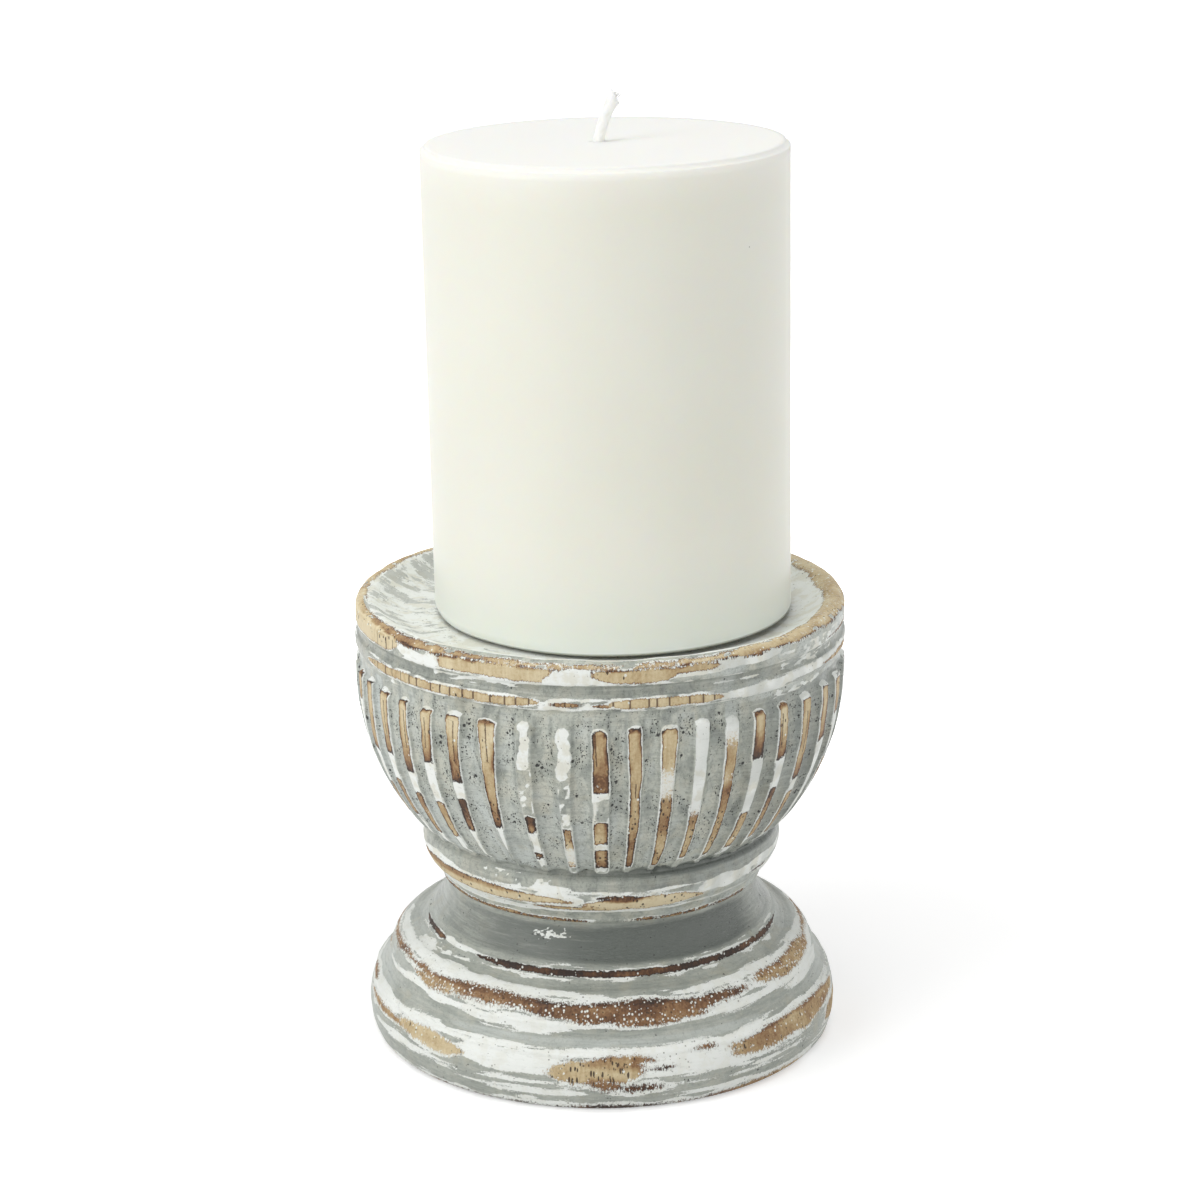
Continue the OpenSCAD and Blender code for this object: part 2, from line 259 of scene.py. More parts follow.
def foot_run(low, high):
    """The stretch of the foot's outline between two heights, as lengths along it in mm."""
    return tuple(np.interp([low, high], foot_z[:foot_shown], foot_s[:foot_shown]))


# Every patch is drawn on a slightly wandering grid, so that no edge runs quite true
bent = degrees + 2.6 * ring_noise(around, along, 13, 44, 3.0)
crept = along + 0.55 * ring_noise(around, along, 14, 30, 4.0)
crept = crept + 0.30 * ring_noise(around, along, 15, 80, 2.0)

# Bare wood: (from, to) in degrees round from the front, (low, high) in mm, mm of drawn ends,
# and its tone from 0, light tan, to 1, nearly black
foot_bare = np.full(around.shape, -FAR_OFF)
foot_tone = np.full(around.shape, 0.30)
for turn, run, drawn, tone in [
    ((-66, 6), (19.5, 22.2), 24.0, 0.60),           # long band on the upper roll
    ((-24, 42), (18.2, 22.1), 18.0, 0.72),
    ((2, 30), (17.4, 19.6), 8.0, 0.68),
    ((-62, -40), (18.6, 20.6), 9.0, 0.42),
    ((-116, -60), (20.4, 21.9), 12.0, 0.60),        # its thin end round the left side
    ((46, 82), (18.8, 22.6), 9.0, 0.42),            # short patch on the upper roll, right
    ((78, 112), (21.0, 22.3), 9.0, 0.55),
    ((150, 205), (18.9, 22.0), 14.0, 0.55),         # back of the upper roll
    ((-59, -35), (7.9, 12.4), 8.0, 0.22),           # patches on the lowest roll
    ((-82, -45), (8.6, 10.6), 12.0, 0.30),
    ((-12.5, 12), (6.4, 11.8), 5.0, 0.22),
    ((-2, 13.5), (9.6, 12.6), 5.0, 0.48),
    ((-5, 6), (5.2, 7.0), 3.0, 0.60),
    ((5, 14.5), (4.7, 6.3), 2.0, 0.86),
    ((12, 17), (8.4, 9.6), 2.0, 0.75),
    ((33.5, 84), (8.6, 12.8), 10.0, 0.42),
    ((34, 55), (7.9, 10.8), 6.0, 0.50),
    ((72, 102), (3.0, 8.5), 9.0, 0.40),
    ((21, 29), (11.0, 12.4), 3.0, 0.55),
    ((128, 172), (6.6, 11.5), 12.0, 0.35),
    ((-160, -118), (7.4, 11.8), 12.0, 0.35),
    ((-90, -80), (11.6, 13.2), 3.0, 0.55),
    ((-96, -86), (16.8, 18.6), 3.0, 0.50),
]:
    patch = strip(bent, crept, wide, turn, foot_run(*run), drawn, 2.5)
    foot_tone += (tone - foot_tone) * smooth((patch + 1.3) / 1.6)
    foot_bare = np.maximum(foot_bare, patch)

# The low riser on top of the shoulder is dark and bare for most of the way round
riser_tone = 0.88 + 0.12 * ring_noise(around, along, 31, 60, 3.0)
riser_edge = 0.16 * ring_noise(around, along, 28, 420, 1.0)
for turn, drawn in [((-45, 84), 9.0), ((-84, -61), 3.0), ((96, 150), 9.0), ((-176, -120), 9.0)]:
    patch = strip(degrees, along, wide, turn, foot_run(RISER_FOOT - 0.15, RISER_TOP), drawn)
    foot_tone = np.where(patch > -0.3, riser_tone, foot_tone)
    foot_bare = np.maximum(foot_bare, patch + riser_edge)

# A wavering bare line runs round the foot just above its bottom edge
line_wide = between(degrees, {-60: 0.55, -40: 0.55, -4: 0.62, 6: 0.90, 36: 0.95, 52: 0.60})
line_off = np.abs(along - foot_run(LINE_Z, NECK_TOP)[0])
bottom_line = 0.50 * ring_noise(around, 0.0, 21, 34, 1.0) + line_wide - line_off
line_tone = between(degrees, {
    -180: 0.50, -60: 0.34, -38: 0.75, -8: 0.95, 8: 0.85, 30: 0.62, 50: 0.42, 180: 0.50,
})
line_tone = line_tone + 0.2 * ring_noise(around, along, 27, 60, 9.0)
foot_tone = np.where(bottom_line > foot_bare, line_tone, foot_tone)
foot_bare = np.maximum(foot_bare, bottom_line)

# White undercoat: a ragged border round the bare wood, and streaks of its own
on_band = strip(degrees, along, wide, ALL_ROUND, foot_run(16.0, 24.0)) > 0
on_riser = strip(degrees, along, wide, ALL_ROUND, foot_run(24.7, 27.0)) > 0
border = 0.65 + 0.8 * ring_noise(around, along, 23, 60, 2.5)
foot_white = foot_bare + np.where(on_riser, 0.15, border)
streak_edge = 0.40 * ring_noise(around, along, 24, 44, 0.7)
for turn, run, drawn in [
    ((-100, 2), (22.0, 23.4), 24.0),
    ((18, 92), (22.0, 23.3), 16.0),
    ((-30, 40), (22.0, 22.5), 6.0),
    ((-84, 84), (17.0, 18.6), 16.0),
    ((-40, -7), (15.9, 18.2), 9.0),
    ((58, 84), (15.6, 18.0), 6.0),
    ((44, 88), (17.6, 22.8), 10.0),
    ((-104, 104), (12.4, 13.5), 30.0),
    ((-38, -6), (7.6, 13.0), 9.0),
    ((4, 52), (7.2, 13.0), 9.0),
    ((10, 56), (7.0, 9.0), 14.0),
    ((-92, -56), (10.2, 13.3), 8.0),
    ((-40, -6), (3.9, 5.0), 12.0),
    ((-72, -38), (5.0, 7.0), 9.0),
    ((-32, 8), (6.2, 7.0), 6.0),
    ((-64, -42), (25.1, 26.5), 5.0),
    ((-74, -60), (23.0, 24.3), 6.0),
    ((-52, -47), (23.9, 24.3), 2.0),
    ((-40, 78), (26.4, 26.7), 5.0),
    ((-44, 70), (24.85, 25.1), 9.0),
    ((-22, -4), (1.6, 2.6), 4.0),
    ((110, 250), (12.2, 13.5), 20.0),
    ((120, 240), (22.0, 23.4), 20.0),
    ((118, 200), (5.2, 12.2), 16.0),
    ((200, 250), (6.0, 10.6), 12.0),
    ((130, 230), (17.4, 19.0), 16.0),
]:
    streak = strip(bent, crept, wide, turn, foot_run(*run), drawn, 1.5)
    foot_white = np.maximum(foot_white, streak + streak_edge)

# Scuffs are broken up into specks; half wiped off, the white lies in long streaks
speckled = 0.9 * ring_noise(around, along, 29, 300, 0.32) - 0.30
wiped = 0.75 * ring_noise(around, along, 32, 34, 0.55) - 0.34
for turn, run, drawn, cover, broken in [
    ((-28, -9), (31.6, 33.8), 5.0, 0.30, speckled),
    ((-62, -52), (23.6, 24.6), 5.0, 0.30, speckled),
    ((36, 46), (13.0, 14.6), 5.0, 0.30, speckled),
    ((6, 88), (2.0, 7.2), 9.0, 0.25, wiped),
    ((-60, -8), (4.6, 6.4), 9.0, 0.25, wiped),
    ((30, 60), (13.4, 14.4), 9.0, 0.25, wiped),
    ((-40, -18), (12.6, 14.0), 9.0, 0.25, wiped),
]:
    scuff = np.minimum(strip(bent, crept, wide, turn, foot_run(*run), drawn), cover)
    foot_white = np.maximum(foot_white, scuff + broken)
foot_white = foot_white + 0.40 * ring_noise(around, along, 25, 60, 0.42)

# The wood is mottled, and darker along the upper edges and inside some of the patches
foot_tone += np.where(on_band, 0.07, 0.14) * ring_noise(around, along, 26, 40, 2.5)
upper_edge = strip(degrees, along, wide, (-50, 60), foot_run(21.0, 22.6))
foot_tone += 0.14 * smooth(upper_edge / 0.5)
for turn, run in [
    ((34, 80), (11.6, 13.4)),
    ((44, 84), (21.8, 23.2)),
    ((8, 16), (6.0, 12.0)),
    ((-84, -58), (8.4, 11.0)),
]:
    foot_tone += 0.20 * smooth(strip(bent, crept, wide, turn, foot_run(*run)) / 0.6)

# Darker unsanded paint and painted shade in the neck, under the bowl, and painted sheen in the cove and
# at the foot's two sides
neck_paint_and_shade = smooth(strip(degrees, along, wide, ALL_ROUND, foot_run(26.6, NECK_TOP)) / 2.2)
neck_paint_and_shade *= between(degrees, {
    -180: 0.80, -80: 0.15, -52: 0.50, -38: 0.85, -12: 0.95,
    0: 1.15, 30: 1.50, 50: 1.35, 70: 0.40, 180: 0.80,
})
in_cove = strip(degrees, along, wide, (-42, 48), foot_run(13.4, 15.3), 9.0)
at_sides = between(np.abs(degrees), {62: 0.0, 78: 0.75, 96: 0.75, 115: 0.0})
painted_sheen = np.maximum(0.75 * smooth(in_cove / 0.5), at_sides)
wood_pores = between(degrees, {-40: 0.12, -16: 1.0, 16: 1.0, 36: 0.35})

for field, grid in {
    "bare": np.where(shown, foot_bare, -FAR_OFF),
    "white": np.where(shown, foot_white, -FAR_OFF),
    "tone": foot_tone,
    "pitted": 0.10 * shown,
    "dark_paint_and_shade": np.where(shown, neck_paint_and_shade, 0.0),
    "ragged": np.where(on_riser, 0.30, 1.0),
    "dotted": np.where(on_band, 1.0, np.where(on_riser, 0.15, 0.28)),
    "cracked": np.where(on_band | on_riser, 0.10, wood_pores),
    "faded": 0.55 * smooth(1 - foot_bare / 1.4) * ~on_riser,
    "chalk_and_painted_light": painted_sheen * (0.7 + 0.3 * ring_noise(around, along, 30, 60, 0.5)),
    "checked": 0.0,
    "stroked": 0.0,
    "rayed": 0.0,
    "split": FAR_OFF,
    "knot": FAR_OFF,
    "run": along,
}.items():
    paint_field(foot_turning, field, grid)


class Reading:
    """A number, a colour or a place that varies over a surface.  Working with readings adds the
    nodes that do the same; plain numbers and 0-255 screen colours may stand in for readings."""

    def __init__(self, socket):
        self.socket = socket

    def new(self, kind, inputs, output, **options):
        """One output of a node added to the same material."""
        return Reading(add(self.socket.id_data, kind, inputs, **options).outputs[output])

    def maths(self, operation, *others):
        """This and the others taken through one arithmetic step."""
        return self.new("ShaderNodeMath", dict(enumerate((self, *others))), 0, operation=operation)

    def __add__(self, other):
        return self.maths("ADD", other)

    def __sub__(self, other):
        return self.maths("SUBTRACT", other)

    def __mul__(self, other):
        return self.maths("MULTIPLY", other)

    def __abs__(self):
        return self.maths("ABSOLUTE")

    def scaled(self, by, plus):
        """This times one reading, plus another."""
        return self.maths("MULTIPLY_ADD", by, plus)

    def ramp(self, start, end):
        """0 below start, 1 above end, smooth between; start may be above end to turn it round."""
        span = {"Value": self, "From Min": start, "From Max": end}
        return self.new("ShaderNodeMapRange", span, "Result", interpolation_type="SMOOTHSTEP")

    def mix(self, low, high):
        """The colour low where this is 0, and high where it is 1."""
        ends = [end if isinstance(end, Reading) else srgb(*end) for end in (low, high)]
        return self.new("ShaderNodeMix", {0: self, 6: ends[0], 7: ends[1]}, 2, data_type="RGBA")

    def split(self, kind="XYZ"):
        """The three parts of a place, or of a colour where kind is Color."""
        socket = "Vector" if kind == "XYZ" else kind
        node = add(self.socket.id_data, "ShaderNodeSeparate" + kind, {socket: self})
        return [Reading(output) for output in node.outputs]

    def stretched(self, *scale):
        """A place with each axis scaled, so that a noise on it is drawn out."""
        return self.new("ShaderNodeMapping", {"Vector": self, "Scale": scale}, 0, vector_type="POINT")

    def noise(self, scale, detail=3.0, roughness=0.55):
        """Noise from 0 to 1 over a place, at a number of features per metre."""
        inputs = {"Vector": self, "Scale": scale, "Detail": detail, "Roughness": roughness}
        return self.new("ShaderNodeTexNoise", inputs, "Fac")

    def cells(self, scale):
        """A place's distance from the nearest of scattered points, and that point's random colour."""
        node = add(self.socket.id_data, "ShaderNodeTexVoronoi", {"Vector": self, "Scale": scale})
        return Reading(node.outputs["Distance"]), Reading(node.outputs["Color"]).split("Color")

    def dots(self, scale, radius, odds):
        """Round specks of a radius in cell widths, in the share of the cells that odds gives."""
        distance, (pick, size, _) = self.cells(scale)
        round_spot = (size.scaled(radius, radius * 0.55) - distance).ramp(0.0, 0.06)
        return round_spot * (odds - pick).ramp(0.0, 0.02)


def fill(node, inputs):
    """Sets or wires a node's inputs, by name or number."""
    for socket, value in inputs.items():
        if isinstance(value, Reading):
            node.id_data.links.new(value.socket, node.inputs[socket])
        else:
            node.inputs[socket].default_value = value


def add(tree, kind, inputs=None, **options):
    """Adds a shader node, sets its options and fills its inputs."""
    made = tree.nodes.new(kind)
    for option, value in options.items():
        setattr(made, option, value)
    fill(made, inputs or {})
    return made


def srgb(red, green, blue):
    """A paint colour given as 0-255 screen values, in the renderer's linear scale."""
    screen = np.array([red, green, blue]) / 255.0
    linear = np.where(screen <= 0.04045, screen / 12.92, ((screen + 0.055) / 1.055) ** 2.4)
    return (*linear.tolist(), 1.0)


def blank(name):
    """A new material, and the place of each point of the piece that wears it."""
    material = bpy.data.materials.new(name)
    material.use_nodes = True
    return material, Reading(add(material.node_tree, "ShaderNodeTexCoord").outputs["Object"])


def attribute(material, name):
    """A number stored on the surface."""
    return Reading(add(material.node_tree, "ShaderNodeAttribute", attribute_name=name).outputs["Fac"])


def layered(ground, coats):
    """Lays coats over a colour in turn, each as (how much of it, its colour)."""
    for amount, tint in coats:
        ground = amount.mix(ground, tint)
    return ground


def finish(material, colour, roughness, relief, depth, strength=1.0, plain=None):
    """Wires a colour, a roughness and a relief so many metres deep, and sets plain sockets."""
    tree = material.node_tree
    bump = add(tree, "ShaderNodeBump", {"Height": relief, "Distance": depth, "Strength": strength})
    inputs = {"Base Color": colour, "Roughness": roughness, "Normal": Reading(bump.outputs["Normal"])}
    fill(tree.nodes["Principled BSDF"], {**inputs, **(plain or {})})


SURFACE_FIELDS = (
    "bare", "white", "tone", "pitted", "dark_paint_and_shade", "ragged", "dotted", "cracked",
    "checked", "stroked", "rayed", "split", "knot", "run", "faded", "chalk_and_painted_light",
)
WOOD_TONES = [
    (0.00, srgb(226, 212, 178)),
    (0.22, srgb(207, 188, 148)),
    (0.42, srgb(179, 151, 110)),
    (0.62, srgb(138, 102, 68)),
    (0.80, srgb(88, 58, 36)),
    (1.00, srgb(40, 26, 17)),
]


def sanded_paint(name, greys, mottle, burn, streaky, pore_long, smear):
    """Grey over white paint over wood, sanded back.  The surface's own fields say how far a
    point is inside the bare wood and inside the white; fine noise makes the edges ragged.
    Greys are the dark and the light of the top coat, the rest how much of each mark it has."""
    material, place = blank(name)
    readings = [attribute(material, field) for field in SURFACE_FIELDS]
    bare, white, tone, pitted, dark_paint_and_shade, ragged, dotted, cracked = readings[:8]
    checked, stroked, rayed, split, knot, run, faded, chalk_and_painted_light = readings[8:]

    # Round the axis: a point's bearing, and its length along the outline, for brush marks
    east, north, _ = place.split()
    flat = place.new("ShaderNodeCombineXYZ", {"X": east, "Y": north}, 0)
    facing = flat.new("ShaderNodeVectorMath", {0: flat}, 0, operation="NORMALIZE").split()
    turned = flat.new("ShaderNodeCombineXYZ", {"X": facing[0], "Y": facing[1], "Z": run * 0.02}, 0)
    round_strokes = turned.stretched(1.0, 1.0, 5.5).noise(3.6, 5.0, 0.65)
    ray_strokes = turned.stretched(1.0, 1.0, 0.45).noise(13.0, 5.0, 0.65)
    strokes = rayed.mix(round_strokes, ray_strokes)

    # How far inside each coat, in mm, with ragged, hatched edges
    lying = place.stretched(1.0, 1.0, 4.0)
    tatter = lying.noise(850.0, 4.0, 0.7).scaled(2.4, -1.2)
    hatch = place.stretched(1.0, 1.0, 0.30).noise(2600.0, 2.0, 0.6).scaled(3.0, -1.5)
    chatter = place.noise(3000.0, 3.0, 0.7).scaled(2.2, -1.1)
    bare_in = (tatter * 0.6 + (hatch + chatter)).scaled(ragged, bare)
    white_in = (tatter + chatter).scaled(ragged * 0.55, white)
    white_in = (strokes - 0.5).scaled(stroked, white_in)
    bare_mask = bare_in.ramp(-0.04, 0.08)
    white_mask = white_in.ramp(-0.07, 0.14)

    # Pinholes in the grey come in crowds: fine ones, open ones and upright slits
    crowd = place.noise(210.0, 3.0, 0.6).ramp(0.48, 0.58)
    likely = crowd * pitted
    fine_holes = place.stretched(1.0, 1.0, 0.8).dots(2500.0, 0.26, likely)
    open_holes = place.dots(1000.0, 0.27, likely * 0.40)
    slit_holes = place.stretched(1.0, 1.0, 0.4).dots(1500.0, 0.20, likely * 0.35)
    pinhole = fine_holes.maths("MAXIMUM", open_holes.maths("MAXIMUM", slit_holes))

    # Grey paint: brushed on in the lathe's direction, chalky and dirty in places, pinholed, with
    # painted light and painted shade laid on where the fields say
    cloud = place.noise(110.0, 4.0, 0.6)
    smeared = place.stretched(1.0, 1.0, smear)
    mottled = smeared.noise(560.0, 5.0, 0.7)
    broadly = smeared.noise(250.0, 3.0, 0.6)
    gritty = place.noise(1500.0, 4.0, 0.75)
    curls = abs(place.noise(620.0, 3.0, 0.6) - 0.5)
    brushing = turned.stretched(0.4, 0.4, 8.0).noise(9.0, 4.0, 0.7)
    streaked = brushing.ramp(0.48, 0.68) * 0.30
    body = layered(cloud.ramp(0.36, 0.64).mix(*greys), [
        (mottled.ramp(0.50, 0.66) * (0.55 * mottle), (208, 210, 198)),     # chalk
        (mottled.ramp(0.48, 0.34) * (0.50 * mottle), (104, 109, 102)),     # dirt
        (broadly.ramp(0.48, 0.64) * (0.55 * mottle), (208, 207, 192)),
        (broadly.ramp(0.48, 0.32) * (0.50 * mottle), (122, 128, 124)),
        # chalky paint, and painted light: a sheen on the foot, lighter paint on the bowl's left
        (chalk_and_painted_light, (200, 206, 201)),
        (curls.ramp(0.020, 0.004) * (0.40 * mottle), (100, 105, 98)),      # curled hairlines
        (gritty.ramp(0.56, 0.72) * 0.38, (214, 216, 206)),                 # grit
        (gritty.ramp(0.44, 0.30) * 0.45, (92, 96, 88)),
        (stroked * 0.14, (206, 209, 203)),                                 # the dish's thin coat
        (streaked, (190, 195, 188)),                                       # brush marks
        (brushing.ramp(0.50, 0.34) * 0.30, (132, 138, 132)),
        (place.noise(190.0).ramp(0.54, 0.68) * 0.28, (186, 181, 158)),     # yellowing
        (streaked.scaled(-0.8, dark_paint_and_shade), (98, 104, 98)),                   # painted shade, and darker unsanded paint in the neck
        (pinhole * 0.96, (24, 26, 23)),
    ])

    # White undercoat: nearly plain, rubbed thin in small places
    thin = lying.noise(480.0, 5.0, 0.75).ramp(0.56, 0.66) * 0.36
    rubbed = place.stretched(1.0, 1.0, 2.0).noise(1300.0, 5.0, 0.8).ramp(0.60, 0.74)
    under = layered(thin.mix((247, 250, 245), (196, 200, 192)), [
        (rubbed * 0.45, (150, 151, 138)),
        (place.noise(300.0, 3.0, 0.6).ramp(0.46, 0.62) * (0.6 * mottle), (229, 228, 213)),
        (place.dots(1500.0, 0.22, crowd * 0.35) * 0.7, (104, 98, 82)),
        # chalky paint, and the foot's painted sheen, grey the white a little
        (chalk_and_painted_light * 0.65, (199, 203, 196)),
    ])

    # Bare wood: grain along the fibres, and scorched edges
    fibres = place.stretched(1.0, 1.0, 0.10).noise(1600.0, 4.0, 0.6)
    broad = place.stretched(1.0, 1.0, 0.18).noise(330.0, 3.0, 0.5)
    scorch = bare_in.ramp(0.34, 0.03) * burn * checked.scaled(-0.5, 1.0)
    streaks = fibres.scaled(0.8, -0.4) + (broad - 0.5)
    shade = (gritty - 0.5).scaled(0.55, streaks.scaled(streaky, tone + scorch))
    timber = add(material.node_tree, "ShaderNodeValToRGB", {"Fac": shade})
    first_stop, last_stop = timber.color_ramp.elements
    first_stop.position, first_stop.color = WOOD_TONES[0]
    last_stop.position, last_stop.color = WOOD_TONES[-1]
    for position, colour in WOOD_TONES[1:-1]:
        timber.color_ramp.elements.new(position).color = colour

    # Its marks: checks across the mouldings, cracks along the ribs, a knot, pores, white specks
    turn = east.maths("ARCTAN2", north * -1.0) * 18.0
    planks = {"W": turn, "Scale": 1.0}
    kind = {"voronoi_dimensions": "1D"}
    check_gap = turn.new("ShaderNodeTexVoronoi", planks, "Distance", feature="DISTANCE_TO_EDGE", **kind)
    check_pick = turn.new("ShaderNodeTexVoronoi", planks, "Color", **kind).split("Color")[1]
    check_line = check_gap.ramp(0.085, 0.04) * (checked - check_pick).ramp(-0.02, 0.02)
    crack_line = abs(chatter.scaled(0.25, split)).ramp(0.15, 0.07)
    check_line = check_line.maths("MAXIMUM", crack_line)
    rings = (tatter.scaled(0.5, knot) * 9.0).maths("SINE")
    knot_line = rings.ramp(-0.2, 0.8) * knot.ramp(2.6, 1.8)
    crack_odds = place.noise(260.0, 2.0).ramp(0.28, 0.46) * (cracked * 0.8)
    cracks = place.stretched(1.0, 1.0, pore_long).dots(1500.0, 0.28, crack_odds)
    fleck_odds = bare_in.ramp(1.6, 0.2).scaled(0.55, 0.45) * dotted
    flecks = place.stretched(1.0, 1.0, 0.8).dots(1600.0, 0.32, fleck_odds)
    thinning = (gritty - 0.5).scaled(1.6, faded).ramp(0.42, 0.70)
    wood = layered(Reading(timber.outputs["Color"]), [
        (check_line * 0.85, (78, 50, 30)),
        (knot_line * 0.75, (92, 60, 36)),
        (cracks * 0.9, (48, 31, 19)),
        (place.dots(1750.0, 0.28, dotted * 0.45) * 0.8, (54, 46, 30)),
        (flecks.maths("MAXIMUM", thinning) * 0.95, (240, 242, 235)),
    ])

    # Paint is a little glossy where it is whole, most of all in the neck; wood is dull
    gloss = dark_paint_and_shade.scaled(-0.12, mottled.scaled(0.24, 0.30))

    # Relief: each coat has its own thickness, the wood its fibres, the holes their depth
    relief = 1.0
    for mark, height in [
        (white_mask, -0.30), (bare_mask, -0.40), (pinhole, -1.1), (mottled, 0.9),
        (cracks * bare_mask, -0.6), (check_line * bare_mask, -0.6), (fibres * bare_mask, 0.3),
    ]:
        relief = mark.scaled(height, relief)
    finish(
        material, bare_mask.mix(white_mask.mix(body, under), wood), bare_mask.scaled(0.22, gloss),
        relief, 0.00026, 0.85, {"Specular IOR Level": 0.50},
    )
    return material


foot_paint = sanded_paint(
    "foot_sanded_paint", ((160, 165, 157), (181, 185, 176)),
    mottle=0.45, burn=0.36, streaky=0.44, pore_long=0.26, smear=5.0,
)
foot_turning.data.materials.append(foot_paint)
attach(foot_turning, "holder")
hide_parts("base")


# ---------------------------------------------------------------- Bowl
# A second turning of the same wood has a dish, a rim and a bead above, and a collar below.
# A round gouge, pushed up its belly from the collar, has left forty-four flat ribs between
# hollow valleys.  The ribs vary a little in width and spacing, as handwork does.

RIBS = 44
PITCH = 360.0 / RIBS          # degrees

# Heights in mm, from the seam with the foot up to the crest of the rim
SEAM_Z = NECK_TOP
GROOVE_Z, FLUTE_Z = SEAM_Z + 12.2, SEAM_Z + 13.1
BELLY_Z, RIB_TOP_Z = FLUTE_Z + 33.8, FLUTE_Z + 37.0
BEAD_Z, RIM_GROOVE_Z, RIM_Z = RIB_TOP_Z + 2.7, RIB_TOP_Z + 5.5, RIB_TOP_Z + 8.1
CREST_Z = RIM_Z + 4.8
DISH_Z = CREST_Z - 4.0
COLLAR_TOP = 43.9

# Radii in mm: of the mouldings, of the gouge, and of the arcs that the ribs' flats and the
# valleys' floors follow, with how far those arcs' middles stand off the axis
BOWL_R, RIM_R, PLAIN_R, COLLAR_R, SEAM_R = 53.1, 52.85, 52.2, 42.0, 35.3
GOUGE_R = 2.8
FLAT_ARC_R, FLAT_ARC_OFF = 50.73, 2.37
FLOOR_ARC_R, FLOOR_ARC_OFF = 51.79, 0.21
LIP_OUT = 2.6                 # mm down the outline from the crest to the bare lip's end

# Holes for the pricket above, and the tenon and the screw's hole below, mm
SHANK_R, SHANK_FLOOR = 1.65, 80.2
FLANGE_R, FLANGE_FLOOR = 6.05, DISH_Z - 1.1
TENON_R, TENON_FOOT = 15.0, SEAM_Z - 9.0
PILOT_R, PILOT_TOP = 3.05, 61.4

bowl_outline = [
    (SHANK_R, SHANK_FLOOR, 0.0, 1),
    (SHANK_R, FLANGE_FLOOR, 0.0, 1),
    (FLANGE_R, FLANGE_FLOOR, 0.0, 1),
    (FLANGE_R, DISH_Z, 0.0, 6),
    (42.1, DISH_Z, 0.35, 7),
    (48.95, CREST_Z - 0.4, -0.10, 4),
    (50.9, CREST_Z, -0.40, 7),
    (RIM_R, CREST_Z - 1.5, 0.0, 6),
    (RIM_R, RIM_Z + 0.1, 0.0, 1),
    (RIM_R - 0.2, RIM_Z - 0.1, 0.55, 7),
    (RIM_R - 0.2, RIM_GROOVE_Z + 0.1, 0.0, 1),
    (RIM_R, RIM_GROOVE_Z, -0.25, 7),
    (RIM_R, BEAD_Z, 0.0, 1),
    (PLAIN_R, BEAD_Z - 0.4, 0.0, 4),
    (PLAIN_R, RIB_TOP_Z + 1.1, 0.0, 12),
    (BOWL_R, RIB_TOP_Z - 1.3, -3.2, 42),
    (40.9, FLUTE_Z + 2.8, -0.1, 9),
    (39.4, FLUTE_Z, 0.0, 2),
    (38.2, GROOVE_Z, 0.0, 2),
    (39.1, GROOVE_Z - 0.9, 0.0, 4),
    (39.4, GROOVE_Z - 3.9, -0.55, 10),
    (36.9, SEAM_Z + 3.1, 0.25, 6),
    (SEAM_R, SEAM_Z, 0.0, 1),
    (TENON_R, SEAM_Z, 0.0, 1),
    (TENON_R, TENON_FOOT, 0.0, 1),
    (PILOT_R, TENON_FOOT, 0.0, 1),
    (PILOT_R, PILOT_TOP, 0.0, 1),
]
bowl_r, bowl_z = turning(bowl_outline)
bowl_s = np.concatenate([[0.0], np.cumsum(np.hypot(np.diff(bowl_r), np.diff(bowl_z)))])
rim_row = int(bowl_z.argmax())

# Down the belly the ribs' flats follow one arc, and the floors of the valleys another
rib_level = np.where(np.arange(len(bowl_z)) < rim_row, RIB_TOP_Z, bowl_z)
rib_level = np.clip(rib_level, FLUTE_Z, RIB_TOP_Z)[:, None]
below = np.minimum(rib_level - BELLY_Z, 0.0)
crest_r = FLAT_ARC_OFF + np.sqrt(FLAT_ARC_R ** 2 - below ** 2)
floor_r = FLOOR_ARC_OFF + np.sqrt(FLOOR_ARC_R ** 2 - below ** 2)
arc = crest_r * math.radians(1.0)

# Edges of every rib at every row, in degrees: its own width, form and slow wander.  Ribs
# are counted from the front; each width is a share of the usual one at four heights, bottom up
ribs = np.arange(RIBS)[None, :]
rib_form = np.ones((len(bowl_z), RIBS))
for number, wider in {
    -4: (0.60, 0.90, 0.90, 1.15),
    -3: (0.15, 0.75, 0.95, 1.28),
    -2: (0.80, 0.80, 1.10, 1.00),
    -1: (0.90, 0.80, 1.00, 1.15),
    0: (1.35, 1.25, 1.20, 0.92),
    1: (0.60, 0.75, 0.85, 0.95),
    2: (0.75, 0.95, 0.95, 1.22),
    3: (0.80, 0.75, 1.05, 1.00),
    4: (0.60, 0.75, 0.85, 0.90),
    6: (0.70, 0.80, 0.90, 0.85),
    7: (0.70, 0.85, 1.00, 1.05),
}.items():
    rib_form[:, number % RIBS] = np.interp(rib_level[:, 0], [FLUTE_Z, 60.0, 73.0, RIB_TOP_Z], wider)
half = between(rib_level, {FLUTE_Z: 0.95, 55.0: 1.10, 68.0: 1.36, RIB_TOP_Z: 1.56}) * rib_form
rib_angle, rib_height = np.broadcast_arrays(np.radians(ribs * PITCH), rib_level)
side_noise = [
    ring_noise(rib_angle, rib_height, seed, RIBS, cell)
    for seed, cell in [(31, 7.0), (32, 7.0), (33, 2.2), (34, 2.2), (35, 14.0)]
]
signed = (ribs * PITCH + 180.0) % 360.0 - 180.0
drift = between(signed, {
    -180: 0.0, -75: -1.6, -33: -2.2, -8: -0.2, 0: 0.0, 40: -2.8, 52: -3.7, 75: -1.2, 180: 0.0,
})
middle = ribs * PITCH + drift + 0.18 * side_noise[4] / arc
left_edge = middle - (half * (1 + 0.13 * side_noise[0]) + 0.09 * side_noise[2]) / arc
right_edge = middle + (half * (1 + 0.13 * side_noise[1]) + 0.09 * side_noise[3]) / arc
next_left = np.roll(left_edge, -1, axis=1)
next_left[:, -1] += 360.0

